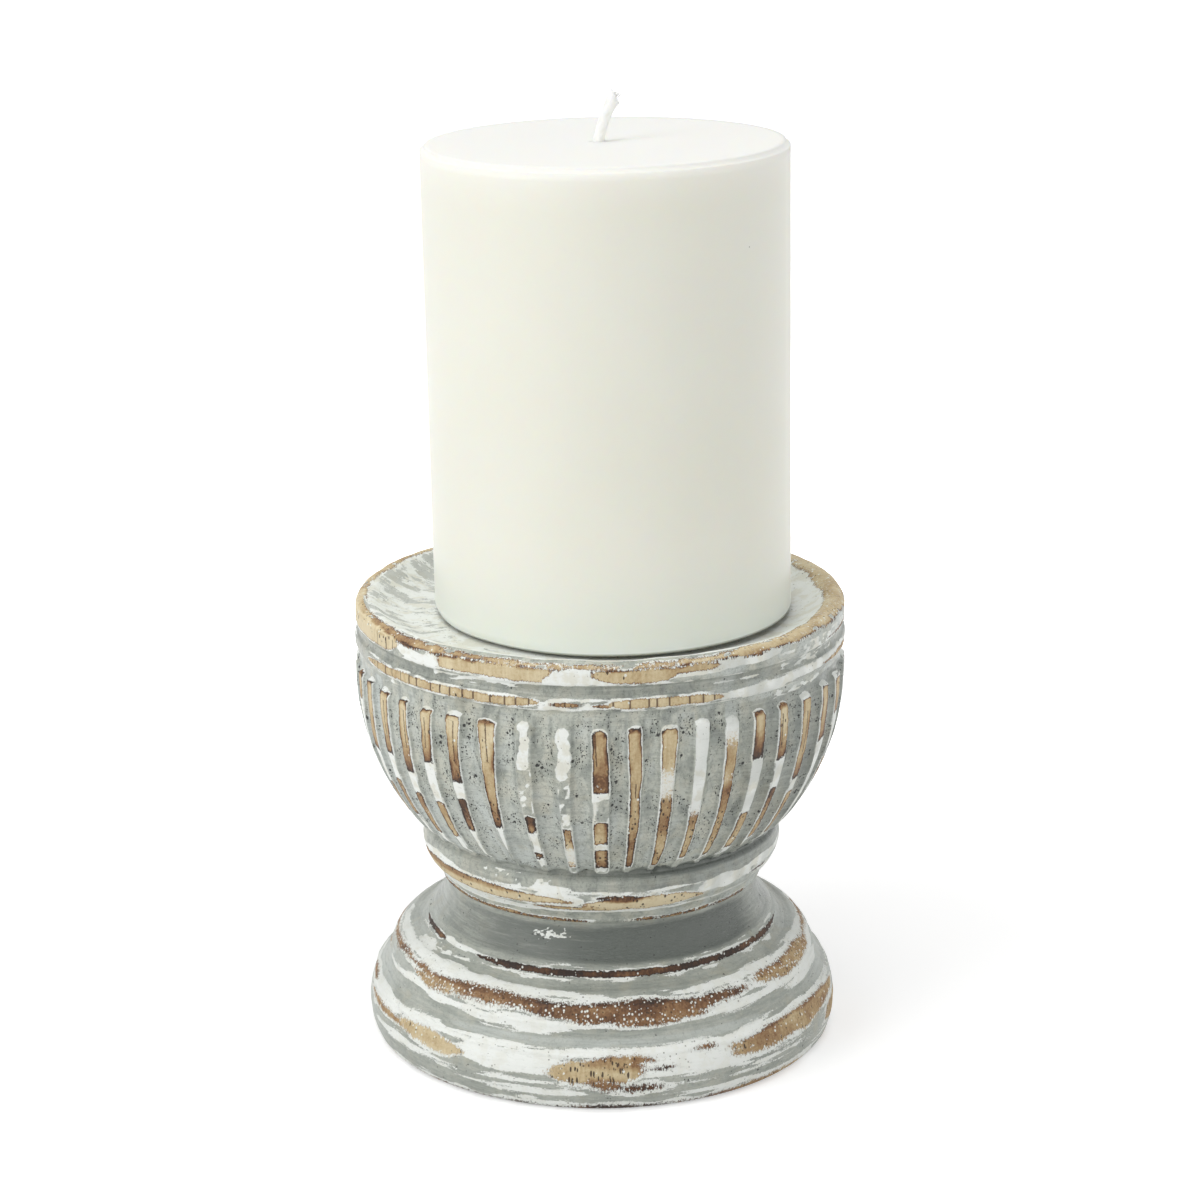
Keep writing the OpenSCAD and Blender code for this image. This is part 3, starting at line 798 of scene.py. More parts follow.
# Six columns cross each rib and nine each valley, crowding at the ribs' edges
on_flat = np.array([0.0, 0.06, 0.35, 0.65, 0.94, 1.0])
in_valley = np.array([0.04, 0.12, 0.24, 0.38, 0.50, 0.62, 0.76, 0.88, 0.96])
per_rib = len(on_flat) + len(in_valley)
flat_angle = left_edge[..., None] + on_flat * (right_edge - left_edge)[..., None]
valley_wide = (next_left - right_edge)[..., None]
valley_angle = right_edge[..., None] + in_valley * valley_wide
shape = (len(bowl_z), RIBS * per_rib)
degrees = np.concatenate([flat_angle, valley_angle], axis=-1).reshape(shape)
around = np.radians(degrees)
degrees = (degrees + 180.0) % 360.0 - 180.0
side_in = np.concatenate([
    np.minimum(on_flat, 1 - on_flat) * (right_edge - left_edge)[..., None] * arc[..., None],
    -np.minimum(in_valley, 1 - in_valley) * valley_wide * arc[..., None],
], axis=-1).reshape(shape)
across = np.concatenate([2 * on_flat - 1, np.where(in_valley < 0.45, 1.0, -1.0)])
across = np.tile(across, RIBS)[None, :]
half_wide = half.repeat(per_rib, axis=1)
owner = np.concatenate([np.zeros(len(on_flat), int), (in_valley > 0.45).astype(int)])
owner = (np.repeat(np.arange(RIBS), per_rib) + np.tile(owner, RIBS)) % RIBS

along = np.repeat(bowl_s[:, None], shape[1], axis=1)
level = np.repeat(bowl_z[:, None], shape[1], axis=1)
radius = np.repeat(bowl_r[:, None], shape[1], axis=1)
outside = (np.arange(shape[0]) > rim_row)[:, None] & (radius > SEAM_R - 0.3)
carved = outside & (level < RIB_TOP_Z + 1.2) & (level > FLUTE_Z - 0.01)


def on_rib(number):
    """The carved points nearest to one rib, counted from the front."""
    return (owner == number % RIBS)[None, :] & carved


# A valley is a slice of the round gouge: its depth is the gouge's arc over its chord
depth = crest_r - floor_r
chord = np.sqrt(2 * GOUGE_R * depth - depth ** 2)
sweep = np.concatenate([np.ones(len(on_flat)), np.abs(2 * in_valley - 1)])
sweep = np.tile(sweep, RIBS)[None, :]
sunk = (np.sqrt(GOUGE_R ** 2 - (sweep * chord) ** 2) - (GOUGE_R - depth)) / depth

# Ribs are cut square at the top, a little askew, and fade out at the bottom
rng = np.random.default_rng(44)
rib_top = RIB_TOP_Z - 0.65 + rng.uniform(-0.35, 0.25, RIBS)
rib_top[[2, 0, 5]] -= 0.45
rib_slant = rng.uniform(-0.22, 0.22, RIBS)
rib_foot = FLUTE_Z + rng.uniform(0.2, 1.4, RIBS)
top_line = (rib_top[owner] + rib_slant[owner] * across) - 0.55 * np.abs(across) ** 3
foot_line = rib_foot[owner] + 0.35 * np.abs(across) ** 2
standing = smooth((top_line - level) / 0.5 + 0.4) * smooth((level - foot_line) / 1.3 + 0.3)
flat_r = np.where(level > BELLY_Z, PLAIN_R, floor_r)
flat_r = flat_r + (crest_r - flat_r) * standing
fading = smooth((RIB_TOP_Z + 1.0 - level) / 1.3)
valley_r = flat_r - sunk * (flat_r - floor_r) * fading
uneven = 0.07 * ring_noise(around, along, 36, 48, 5.0)
uneven = uneven + 0.06 * ring_noise(around, along, 37, 150, 1.8)
wide = np.where(carved, valley_r, radius) + (np.minimum(uneven, 0.07) - 0.07) * outside
wide = np.minimum(wide, BOWL_R - 0.02)

# The rim's edge is knocked and worn; the gouge breaks out raggedly into the collar's groove
lip_wear = 0.30 * smooth(1 - np.abs(level - CREST_Z) / 2.4)
lip_wear = lip_wear * ring_noise(around, along * 0.3, 38, 52, 2.0)
high = level + np.minimum(lip_wear - 0.08, 0.0) * (radius > 45.0) * (level > RIM_Z + 1.0)
at_groove = smooth(1 - np.abs(level - FLUTE_Z) / 1.1) * outside * (radius < COLLAR_R)
scallop = np.where(side_in > 0, -0.25, 0.30 * sunk)
scallop = scallop + 0.30 * ring_noise(around, 0.0, 39, 88, 1.0)
high = high + at_groove * scallop
wide = wide - at_groove * np.clip(scallop, 0.0, 1.0) * 0.6

# Small holes that the gouge's corner tore: (degrees, height, radius)
gouge_holes = np.zeros(shape)
for turn, height, size in [
    (-5.0, 49.0, 0.75),
    (17.0, 48.9, 0.85),
    (19.6, 49.3, 0.60),
    (72.0, 49.2, 0.80),
    (-140.0, 49.1, 0.90),
]:
    off = np.hypot((degrees - turn) * arc, (level - height) * 1.5)
    gouge_holes = np.maximum(gouge_holes, size - off)
gouge_holes = np.where(outside & (radius < COLLAR_R + 1.0), gouge_holes, -FAR_OFF)
wide = wide - 1.2 * smooth(gouge_holes / 0.5)

bowl_turning = surface(
    "bowl_turning", wide * np.sin(around), -wide * np.cos(around), high,
    first_pole=(0.0, 0.0, SHANK_FLOOR), last_pole=(0.0, 0.0, PILOT_TOP),
)


def bowl_run(low, high):
    """The stretch of the bowl's outside between two heights, as lengths along its outline."""
    rows = slice(rim_row, len(bowl_z) - 5)
    upper, lower = np.interp([-high, -low], -bowl_z[rows], bowl_s[rows])
    return upper, lower + max(SEAM_Z - low, 0.0)


# Worn panels on the mouldings, drawn on a grid that wanders a little: (from, to) in degrees,
# (low, high) in mm, mm of drawn ends, and tone
bent = degrees + 1.6 * ring_noise(around, along, 40, 60, 2.0)
crept = along + 0.20 * ring_noise(around, along, 41, 44, 3.0)
crept = crept + 0.12 * ring_noise(around, along, 44, 130, 1.5)
bowl_bare = np.full(shape, -FAR_OFF)
bowl_tone = np.full(shape, 0.22)
for turn, run, drawn, tone in [
    ((-96, -52), (RIM_Z + 0.5, CREST_Z - 0.2), 5.0, 0.0),    # rim
    ((-52, -44), (RIM_Z + 2.6, CREST_Z - 0.5), 3.0, 0.46),
    ((-40, -11), (RIM_Z + 0.5, CREST_Z - 1.2), 1.0, 0.16),
    ((-2, 18), (RIM_Z + 0.5, CREST_Z - 1.3), 4.0, 0.26),
    ((15, 27), (RIM_Z + 1.8, CREST_Z - 1.2), 3.0, 0.30),
    ((64, 98), (RIM_Z + 0.2, RIM_Z + 0.9), 9.0, 0.50),
    ((105, 150), (RIM_Z + 0.4, RIM_Z + 3.0), 5.0, 0.22),
    ((-170, -120), (RIM_Z + 0.4, RIM_Z + 3.0), 6.0, 0.24),
    ((-66, -13), (BEAD_Z + 0.5, RIM_GROOVE_Z - 0.35), 7.0, 0.22),   # bead
    ((-11, -5), (BEAD_Z + 1.0, RIM_GROOVE_Z - 0.7), 2.0, 0.45),
    ((-3, 2), (BEAD_Z + 0.6, BEAD_Z + 1.5), 2.0, 0.60),
    ((1, 28), (BEAD_Z + 0.5, RIM_GROOVE_Z - 0.35), 4.0, 0.20),
    ((62, 84), (BEAD_Z + 0.8, RIM_GROOVE_Z - 0.9), 7.0, 0.36),
    ((96, 160), (BEAD_Z + 0.4, RIM_GROOVE_Z - 0.3), 6.0, 0.24),
    ((-168, -104), (BEAD_Z + 0.4, RIM_GROOVE_Z - 0.3), 6.0, 0.24),
    ((-94, -8), (40.5, 43.5), 22.0, 0.10),                    # collar
    ((-94, -26), (42.6, 43.9), 14.0, 0.52),
    ((-24, 12), (39.6, 40.7), 9.0, 0.30),
    ((-6, 34), (39.8, 43.2), 12.0, 0.02),
    ((-3, 14), (42.2, 43.8), 5.0, 0.80),
    ((54, 68), (41.9, 42.7), 6.0, 0.70),
    ((78, 150), (40.0, 43.0), 14.0, 0.34),
    ((-172, -104), (39.8, 43.3), 14.0, 0.34),
    ((-100, -3), (SEAM_Z - 0.8, SEAM_Z + 0.75), 3.0, 0.42),   # worn edge at the seam
    ((8, 62), (SEAM_Z - 0.8, SEAM_Z + 0.65), 3.0, 0.42),
    ((90, 200), (SEAM_Z - 0.8, SEAM_Z + 0.7), 3.0, 0.42),
]:
    patch = strip(bent, crept, radius, turn, bowl_run(*run), drawn, 2.5)
    bowl_tone = bowl_tone + (tone - bowl_tone) * smooth((patch + 0.7) / 0.9)
    bowl_bare = np.maximum(bowl_bare, patch)

# Wood showing on the ribs, one line per rib counted from the front: each stretch gives its
# lower and upper end in mm, and its tone there.  Then the stretches left white.
worn_ribs = {
    -9: ([(79.0, 85.2, 0.5, 0.2)], [(50.0, 79.0)]),
    -8: ([(70.0, 85.0, 0.6, 0.2), (55.0, 62.0, 0.4, 0.4)], [(50.0, 70.0)]),
    -7: ([(71.0, 85.0, 0.6, 0.2), (56.0, 65.0, 0.4, 0.4)], [(64.0, 71.0), (50.0, 55.0)]),
    -6: ([(69.0, 84.9, 0.85, 0.12), (53.7, 63.7, 0.35, 0.5)], [(63.0, 69.0), (50.0, 54.0)]),
    -5: ([(73.0, 84.8, 0.85, 0.12), (54.5, 63.4, 0.35, 0.45)], [(63.0, 73.0), (50.0, 55.0)]),
    -4: ([(70.0, 85.0, 0.95, 0.10), (57.8, 66.0, 0.4, 0.75)], [(65.0, 70.0), (50.0, 58.0)]),
    -3: ([(60.2, 85.2, 0.95, 0.10)], [(50.0, 61.0)]),
    -2: ([(60.2, 64.3, 0.50, 0.85), (52.8, 54.4, 0.55, 0.65)], [(54.0, 61.0), (50.8, 52.9)]),
    -1: ([(58.3, 61.6, 0.45, 0.95), (51.6, 58.3, -0.1, 0.0), (50.9, 51.8, 0.6, 0.6)], []),
    0: ([(71.0, 84.4, 0.42, 0.50), (58.1, 63.5, 0.3, 0.45), (51.0, 56.1, 0.7, 0.45)],
        [(70.0, 71.0), (56.0, 58.2), (50.0, 51.0)]),
    1: ([(50.8, 85.0, 0.75, 0.16)], []),
    2: ([(51.0, 84.3, 0.45, 0.26)], []),
    3: ([(52.5, 65.0, 0.35, 0.50)], [(64.0, 86.0)]),
    4: ([(52.0, 82.0, 0.35, 0.2)], [(79.5, 86.0)]),
    5: ([(74.6, 85.0, 0.85, 0.12), (52.5, 61.5, 0.3, 0.35)], [(61.0, 74.4), (50.0, 52.5)]),
    6: ([(72.7, 85.3, 0.9, 0.05), (61.3, 66.0, 0.5, 0.7), (53.3, 61.4, 0.25, 0.4)], [(66.0, 72.7)]),
    7: ([(65.7, 84.2, 0.85, 0.15), (52.0, 63.0, 0.35, 0.45)], [(62.8, 65.8), (84.0, 86.0)]),
    8: ([(72.5, 84.5, 0.7, 0.2)], [(50.0, 72.5)]),
    9: ([(76.0, 84.0, 0.6, 0.2), (60.0, 66.0, 0.4, 0.4)], [(68.0, 76.0)]),
}
# Round the back the ribs take a few patterns in turn, with their ends at random
for number in range(max(worn_ribs) + 1, RIBS + min(worn_ribs)):
    split, gap = rng.uniform(62.0, 76.0), rng.uniform(2.0, 7.0)
    upper = (split, 85.0 - rng.uniform(0.0, 0.9), rng.uniform(0.5, 0.95), rng.uniform(0.08, 0.25))
    lower = (51.0 + rng.uniform(0.0, 2.5), split - gap, 0.35, rng.uniform(0.4, 0.75))
    kept = [[upper, lower], [upper], [lower], [upper, lower]][number % 4]
    end = [(84.0, 86.0), (50.0, 60.0), (74.0, 86.0)][number % 3]
    worn_ribs[number] = (kept, [(split - gap, split), end])

end_in = np.minimum(top_line - level + 0.12, level - foot_line + 0.7)
edge_in = np.minimum(side_in, end_in)
ring_gap = 0.30 * ring_noise(around, along, 42, 176, 3.5)
rib_ring = 0.17 + np.minimum(ring_gap, 0.04) - np.abs(edge_in + 0.06)
rib_white = np.full(shape, -0.8)
cap_line = top_line - 0.12 - 0.30 * ring_noise(around, 0.0, 61, 132, 1.0)
capped = (level > cap_line) & (edge_in > -0.3) & (side_in > -0.03)
narrowed = between(level, {52.0: -0.30, 62.0: -0.16, 74.0: -0.04, 84.0: 0.06})
ragged_end = 0.55 * ring_noise(around, 0.0, 43, 264, 1.0)
for number, (stretches, whites) in worn_ribs.items():
    mine = on_rib(number)
    for low, top, low_tone, top_tone in stretches:
        ends = np.minimum((level - low) / 1.7, top + 0.35 - level) + ragged_end * 0.4
        worn = np.minimum(edge_in - 0.02, ends)
        scorch = between(level, {
            low: low_tone,
            low + 2.2: 0.6 * low_tone + 0.4 * top_tone,
            max(top - 3.5, low + 2.4): top_tone,
            top: top_tone,
        })
        bowl_tone = np.where(mine & (level > low - 0.8) & (level < top + 0.8), scorch, bowl_tone)
        bowl_bare = np.where(mine, np.maximum(bowl_bare, worn), bowl_bare)
    for low, top in whites:
        ends = np.minimum(level - low, top - level) + ragged_end + 0.3
        left_white = np.minimum(edge_in + narrowed, ends)
        rib_white = np.where(mine, np.maximum(rib_white, left_white), rib_white)

# Two ribs at the front keep thick lobed drops of white: the rib, its low and high end in mm,
# the height down to which the drops run together, then each drop as (height, offset from
# the rib's middle, radius)
across_mm = across * half_wide
across_mm = across_mm + np.sign(across_mm) * np.maximum(-side_in, 0.0)
thin_line = 0.05 - np.abs(np.minimum(side_in, 1.0) - 0.15)
thin_line = thin_line + 0.30 * ring_noise(around, along, 45, 176, 1.8)
for number, low, top, run_together, drops in [
    (-2, 65.0, 87.0, 76.0, [
        (85.0, -0.1, 1.15), (83.6, 0.1, 0.85), (82.2, 0.2, 1.10), (80.3, 0.1, 1.15),
        (78.6, -0.1, 1.30), (77.0, -0.1, 1.45), (72.0, 0.7, 0.60), (70.6, -0.8, 0.50),
        (69.0, -0.4, 0.70), (67.6, -0.5, 0.50),
    ]),
    (-1, 62.5, 87.0, 75.2, [
        (84.1, 0.2, 1.35), (82.6, -0.6, 0.90), (81.6, 0.4, 1.40), (79.3, 0.5, 1.45),
        (77.4, 0.3, 1.40), (76.2, -0.6, 0.90), (75.0, -0.3, 1.25), (72.2, 0.3, 0.45),
        (70.0, 0.6, 0.50), (68.0, -0.4, 0.50), (65.0, 0.0, 0.90), (63.6, 0.1, 0.75),
    ]),
]:
    mine = carved & (level > low) & (level < top)
    mine = mine & (np.abs(degrees - number * PITCH - drift[0, number]) < 4.2)
    lobed = np.where(level > run_together, -0.8, np.minimum(thin_line, 0.4))
    for height, offset, size in drops:
        lobed = np.maximum(lobed, size - np.hypot(across_mm - offset, (level - height) * 0.95))
    rib_white = np.where(mine, lobed, rib_white)

# A flake of white at the left of the front rib, and thin white lines round the ribs' edges
flake = on_rib(0) & (level > 63.3) & (level < 71.5) & (across < 0.6)
flake_white = -0.12 - across - 0.02 * (level - 67.0) ** 2
flake_white = np.minimum(flake_white + 0.7 * ring_noise(around, along, 67, 264, 1.1), edge_in)
rib_white = np.where(flake, np.maximum(rib_white, flake_white), rib_white)
rib_ring = np.where(capped, np.maximum(rib_ring, 0.3 + edge_in), rib_ring)
rib_ring = np.where((on_rib(-1) | on_rib(-2)) & (level > 64.0), -0.8, rib_ring)
rib_white = np.maximum(rib_white, np.minimum(rib_ring, bowl_bare + 1.4))
rib_white = np.maximum(rib_white, bowl_bare + 0.22)

# A dark line in the wood just under the ribs' tops, and scorched wood here and there along their sides
dark_under_rib_tops = smooth(1 - np.abs(level - np.minimum(top_line - 0.35, 85.2)) / 0.5) * carved
side_burn = smooth(1 - np.abs(side_in - 0.14) / 0.26) * carved
side_burn = side_burn * smooth(0.5 + 1.4 * ring_noise(around, along, 64, 176, 3.0))
bowl_tone = bowl_tone + 0.60 * dark_under_rib_tops + 0.42 * side_burn

# Four ribs wear through only thinly, freckled white, with brown beneath: at each height in
# mm, the wood's tone and how much of it the white still covers
bowl_faded = np.zeros(shape)
for number, worn_thin in [
    (-1, [(50, 0.30, 0.30), (52, 0.30, 0.50), (53, 0.10, 0.75), (56, 0.10, 0.70), (58, 0.30, 0.20),
          (60, 0.50, 0.00)]),
    (2, [(56, 0.34, 0.00), (66.5, 0.52, 0.00), (68, 0.60, 0.25), (70.5, 0.35, 0.72),
         (74, 0.05, 0.70), (79, 0.24, 0.00)]),
    (3, [(55, 0.35, 0.20), (60, 0.35, 0.20), (62.5, 0.50, 0.25), (64, 0.50, 0.50), (65, 0.50, 0.70),
         (66, 0.50, 0.80)]),
    (4, [(58, 0.35, 0.30), (64, 0.50, 0.12), (69, 0.72, 0.12), (71.5, 0.30, 0.45), (76, 0.36, 0.05),
         (82, 0.18, 0.75)]),
]:
    heights, shades, cover = np.transpose(worn_thin)
    mine = on_rib(number) & (level < 84.0)
    bowl_tone = np.where(mine & (level > heights[0]), np.interp(level, heights, shades), bowl_tone)
    bowl_faded = np.where(mine, np.interp(level, heights, cover), bowl_faded)

# Lip: bare round its crest, wider at the sides than at the front
lip_half = between(degrees, {
    -180: 1.9, -140: 2.0, -105: 1.8, -80: 1.4, -60: 1.25, -25: 0.85,
    8: 0.6, 40: 1.3, 68: 2.7, 100: 3.0, 150: 2.1, 180: 1.9,
})
lip_s = bowl_s[rim_row] + LIP_OUT - lip_half
lip = lip_half - np.abs(along - lip_s) + 0.40 * ring_noise(around, along * 0.2, 46, 60, 2.0)
lip = lip + 0.35 * ring_noise(around, along, 62, 150, 1.2)
lip = lip - 1.6 * smooth(2.2 * ring_noise(around, along, 63, 110, 0.7) - 0.9) * (lip < 1.5)
lip_tone = between(degrees, {
    -180: 0.26, -85: 0.24, -55: 0.54, -30: 0.30, 20: 0.20, 60: 0.22, 180: 0.26,
})
lip_tone = lip_tone + 0.16 * ring_noise(around, along, 47, 60, 1.6)
lip_fade = between(degrees, {
    -180: 0.36, -90: 0.38, -60: 0.24, -35: 0.32, -10: 0.44, 14: 0.44, 34: 0.30, 70: 0.40, 180: 0.36,
})
outer_edge = smooth(1 - np.abs(lip - 0.12) / 0.35) * (along > lip_s)
outer_edge = outer_edge * between(degrees, {-110: 0.0, -80: 0.5, 20: 0.3, 45: 1.0, 120: 0.8})
inner_edge = smooth(1 - np.abs(lip - 0.10) / 0.35) * (along < lip_s)
lip_tone = lip_tone + 0.55 * outer_edge + 0.22 * inner_edge
bowl_tone = np.where(lip > bowl_bare, lip_tone, bowl_tone)
bowl_bare = np.maximum(bowl_bare, lip)

# White undercoat round the bare wood, along the mouldings' edges, and over most of the dish
bowl_white = bowl_bare + 0.30 + 0.25 * ring_noise(around, along, 48, 90, 2.0)
bowl_white = np.where(carved, np.maximum(rib_white, -0.8), bowl_white)
for turn, run, drawn in [
    (ALL_ROUND, (BEAD_Z - 0.10, BEAD_Z + 0.20), 0.0),
    (ALL_ROUND, (RIM_GROOVE_Z - 0.20, RIM_GROOVE_Z + 0.06), 0.0),
    ((-92, 95), (RIM_Z - 0.05, RIM_Z + 0.25), 0.0),
    ((-14, 3), (BEAD_Z, BEAD_Z + 1.2), 3.0),
    ((-14, 3), (RIM_GROOVE_Z - 0.9, RIM_GROOVE_Z), 3.0),
    ((24, 50), (BEAD_Z + 0.2, RIM_GROOVE_Z - 0.1), 8.0),
    ((34, 88), (BEAD_Z + 0.9, RIM_GROOVE_Z - 0.2), 12.0),
    ((-53, -36), (RIM_Z + 0.3, CREST_Z - 1.2), 3.0),
    ((-16, 2), (RIM_Z, CREST_Z - 1.0), 2.0),
    ((14, 30), (RIM_Z + 1.0, CREST_Z - 1.0), 5.0),
    ((22, 46), (RIM_Z + 1.4, CREST_Z - 0.8), 8.0),
    ((-40, -20), (RIM_Z - 0.9, RIM_Z - 0.1), 6.0),
    ((20, 40), (RIM_Z - 1.6, RIM_Z - 1.1), 5.0),
    (ALL_ROUND, (COLLAR_TOP, COLLAR_TOP + 0.7), 0.0),
    ((-24, -6), (40.0, 44.4), 5.0),
    ((30, 56), (41.2, 45.0), 9.0),
    ((56, 88), (40.6, 42.0), 10.0),
    ((48, 90), (43.2, 45.0), 10.0),
    ((-96, -18), (37.9, 40.3), 16.0),
    ((-76, -50), (43.7, 45.5), 7.0),
    ((-60, 70), (38.9, 39.7), 10.0),
    ((-26, 14), (SEAM_Z + 0.5, SEAM_Z + 0.9), 8.0),
    ((-22, -10), (44.4, 45.6), 3.0),
]:
    streak = strip(bent, crept, radius, turn, bowl_run(*run), drawn)
    bowl_white = np.maximum(bowl_white, streak + 0.22 * ring_noise(around, along, 49, 90, 0.9))

# Scuffs, broken up into specks, and grey rubbed or pitted through the white
speckled = 0.9 * ring_noise(around, along, 54, 250, 0.34) - 0.36
for turn, run in [
    ((-40, -15), (45.2, 47.4)),
    ((-40, -14), (RIM_Z - 1.6, RIM_Z - 0.2)),
    ((40, 70), (RIM_Z - 2.2, RIM_Z - 0.4)),
    ((44, 90), (RIM_Z + 0.6, RIM_Z + 2.6)),
    ((-62, -50), (BEAD_Z - 1.6, BEAD_Z)),
    ((-14, -2), (BEAD_Z + 0.4, RIM_GROOVE_Z)),
    ((40, 62), (BEAD_Z - 2.0, BEAD_Z - 0.4)),
]:
    scuff = np.minimum(strip(bent, crept, radius, turn, bowl_run(*run), 4.0), 0.3)
    bowl_white = np.maximum(bowl_white, scuff + speckled)
on_mouldings = outside & (level > BEAD_Z - 0.3)
worn_grey = strip(bent, crept, radius, (-47.5, -43.0), bowl_run(RIM_Z + 2.3, RIM_Z + 3.3), 2.0)
bowl_white = np.minimum(bowl_white, np.maximum(0.1 - 2.0 * worn_grey, bowl_bare + 0.2))
holes = np.maximum(ring_noise(around, along, 65, 200, 0.6) - 0.05, 0.0) * on_mouldings
bowl_white = bowl_white - np.where(degrees > 22.0, 0.35, 0.6) * holes
rim_ends = (level > BEAD_Z) & ~carved & outside & (lip < bowl_bare)
thin_edge = smooth(1 - bowl_bare / np.where(level > RIM_Z, 0.7, 0.3))
bowl_faded = np.where(rim_ends, 0.50 * thin_edge, bowl_faded)

# The dish is white at the front and right, and streaked with thin grey on its left, at the
# back and all round its middle
in_dish = (np.arange(shape[0]) < rim_row)[:, None] & (radius > FLANGE_R - 0.05)
greyer = between(degrees, {
    -180: 0.2, -120: 0.3, -85: 0.1, -50: -0.25, -28: -0.5, -8: -1.0,
    60: -1.1, 90: -1.0, 125: -0.6, 150: 0.1, 180: 0.2,
})
greyer = 0.10 + (greyer - 0.10) * smooth((radius - 14.0) / 16.0)
bowl_white = np.where(in_dish, np.maximum(0.30 - greyer, lip + 1.2), bowl_white)

# The gouge's holes are bare and dark
bowl_bare = np.where(gouge_holes > 0.1, np.maximum(bowl_bare, gouge_holes), bowl_bare)
bowl_tone = np.where(gouge_holes > 0.0, 1.15, bowl_tone)

# Tone: mottled along the ribs, and a scorched line on the rim's corner
on_belly = carved & (level < RIB_TOP_Z)
bowl_tone = bowl_tone + 0.12 * ring_noise(around, along, 51, 88, 5.0) * on_belly
corner_s = bowl_run(CREST_Z - 1.35, CREST_Z)[1] + 0.35 * ring_noise(around, 0.0, 53, 70, 1.0)
corner = smooth(1 - np.abs(along - corner_s) / 0.5)
corner = corner * between(degrees, {-70: 0.3, -45: 1.0, 60: 1.0, 90: 0.3})
corner = corner * smooth(0.6 + 1.8 * ring_noise(around, 0.0, 52, 132, 1.0))
bowl_tone = bowl_tone + 0.60 * corner

# Cracks up some of the ribs: the rib, its place across from -1 to 1, its low and high end
split_off = np.full(shape, FAR_OFF)
for number, aside, low, top in [
    (-7, 0.0, 74.0, 84.0),
    (-6, 0.3, 74.0, 84.0),
    (-5, -0.2, 76.0, 84.0),
    (-4, 0.15, 74.0, 84.8),
    (-3, -0.05, 76.0, 85.0),
    (0, -0.55, 76.5, 84.2),
    (1, 0.1, 69.0, 73.5),
    (6, -0.3, 75.0, 84.0),
    (7, 0.2, 72.0, 82.0),
]:
    mine = on_rib(number) & (level > low) & (level < top) & (side_in >= 0)
    split_off = np.where(mine, (across - aside) * half_wide, split_off)

# A knot in the middle of the front rib
knot_off = np.hypot((degrees + 0.1) * arc * 1.15, (level - 73.0) * 0.8)
knot_off = np.where(on_rib(0), knot_off, FAR_OFF)
bowl_tone = bowl_tone + 0.30 * smooth(1 - knot_off / 3.2)

# Painted shade in the collar's top under the belly and in the grooves, most on the right, and holes in
# the valleys' paint
on_lip = (radius > COLLAR_R + 2.0) & (level > CREST_Z - 1.6)
collar_painted_shade = smooth((GROOVE_Z + 1.4 - level) / 1.0) * smooth((level - COLLAR_TOP) / 0.4)
collar_painted_shade = collar_painted_shade * (outside & (radius < COLLAR_R))
collar_painted_shade = collar_painted_shade * np.where(level > GROOVE_Z - 1.0, 1.0, 0.45)
collar_painted_shade = collar_painted_shade * between(degrees, {
    -180: 0.90, -70: 0.25, 0: 0.65, 30: 1.20, 70: 1.10, 180: 0.90,
})
groove_painted_shade = 0.35 * smooth((level - BEAD_Z) / 0.5) * (outside & (level < RIM_Z))
pitted = np.where(carved, np.where(side_in < 0, 1.0, 0.12), 0.05)
sponge = smooth((level - 76.0) / 5.0) * carved
sponge = sponge * between(degrees, {-60: 0.5, -24: 0.6, -5: 1.0, 34: 0.9, 60: 0.5})
pitted = pitted + np.where(side_in < 0, 0.8 * sponge, 0.0)
pitted = np.where(outside & (level > RIB_TOP_Z + 0.4) & (level < BEAD_Z), 0.30, pitted)
pitted = np.where(outside & (level > RIM_GROOVE_Z) & (level < RIM_Z), 0.18, pitted)
# Painted shade down the bowl's right side, and in the valleys beside the ribs' edges
right_painted_shade = between(degrees, {26: 0.0, 44: 0.50, 74: 0.60, 90: 0.35}) * carved
painted_corner_shade = smooth(1 - np.abs(side_in + 0.4) / 0.6) * carved * 0.40

# Chalky paint: tall blotches in the valleys; with painted light, lighter low on the left and at the far
# left, where the light falls
blotches = 1.6 * ring_noise(around, along, 55, 132, 9.0)
blotches = blotches + 0.8 * ring_noise(around, along, 56, 176, 2.5)
chalk_and_painted_light = 0.55 * smooth(blotches)
left_low = smooth((72.0 - level) / 10.0)
left_low = left_low * between(degrees, {-180: 0, -90: 0.6, -70: 1.2, -15: 1.0, 5: 0.4, 30: 0})
far_left = between(degrees, {-120: 0.0, -90: 0.9, -66: 0.6, -46: 0.0})
dulled = between(degrees, {14: 0.0, 30: 0.8, 80: 0.9, 100: 0.4})
dulled = dulled * smooth(0.6 + 0.9 * ring_noise(around, along, 66, 132, 3.0))
chalk_and_painted_light = np.where(carved & (side_in < 0.1), chalk_and_painted_light + 0.50 * left_low + far_left, dulled * outside)

# Pores low on the ribs, on the collar and where the rim is scratched; checks across the
# mouldings' grain
low_wood = smooth((70.0 - level) / 4.0) * carved
scratched = smooth((level - RIM_Z - 1.4) / 1.2) * outside
scratched = scratched * between(degrees, {-95: 0, -80: 1, -54: 1, -48: 0})
pores = 0.80 * low_wood + 0.4 * (outside & (level < 45.0)) + 0.45 * scratched - 0.04 * on_lip
across_grain = np.where(level < RIM_GROOVE_Z, 0.85, 0.12)
across_grain = across_grain * (outside & (level > BEAD_Z - 0.2) & ~on_lip)

# How ragged the coats' edges are away from the ribs, and where the dish's strokes are rays
off_ribs = np.where(on_lip, 0.75, np.where(in_dish, 0.60, 0.34))
ray_part = between(degrees, {-180: 1.0, -150: 1.0, -60: 0.8, -40: 0.0, 60: 0.0, 90: 0.8, 180: 1.0})

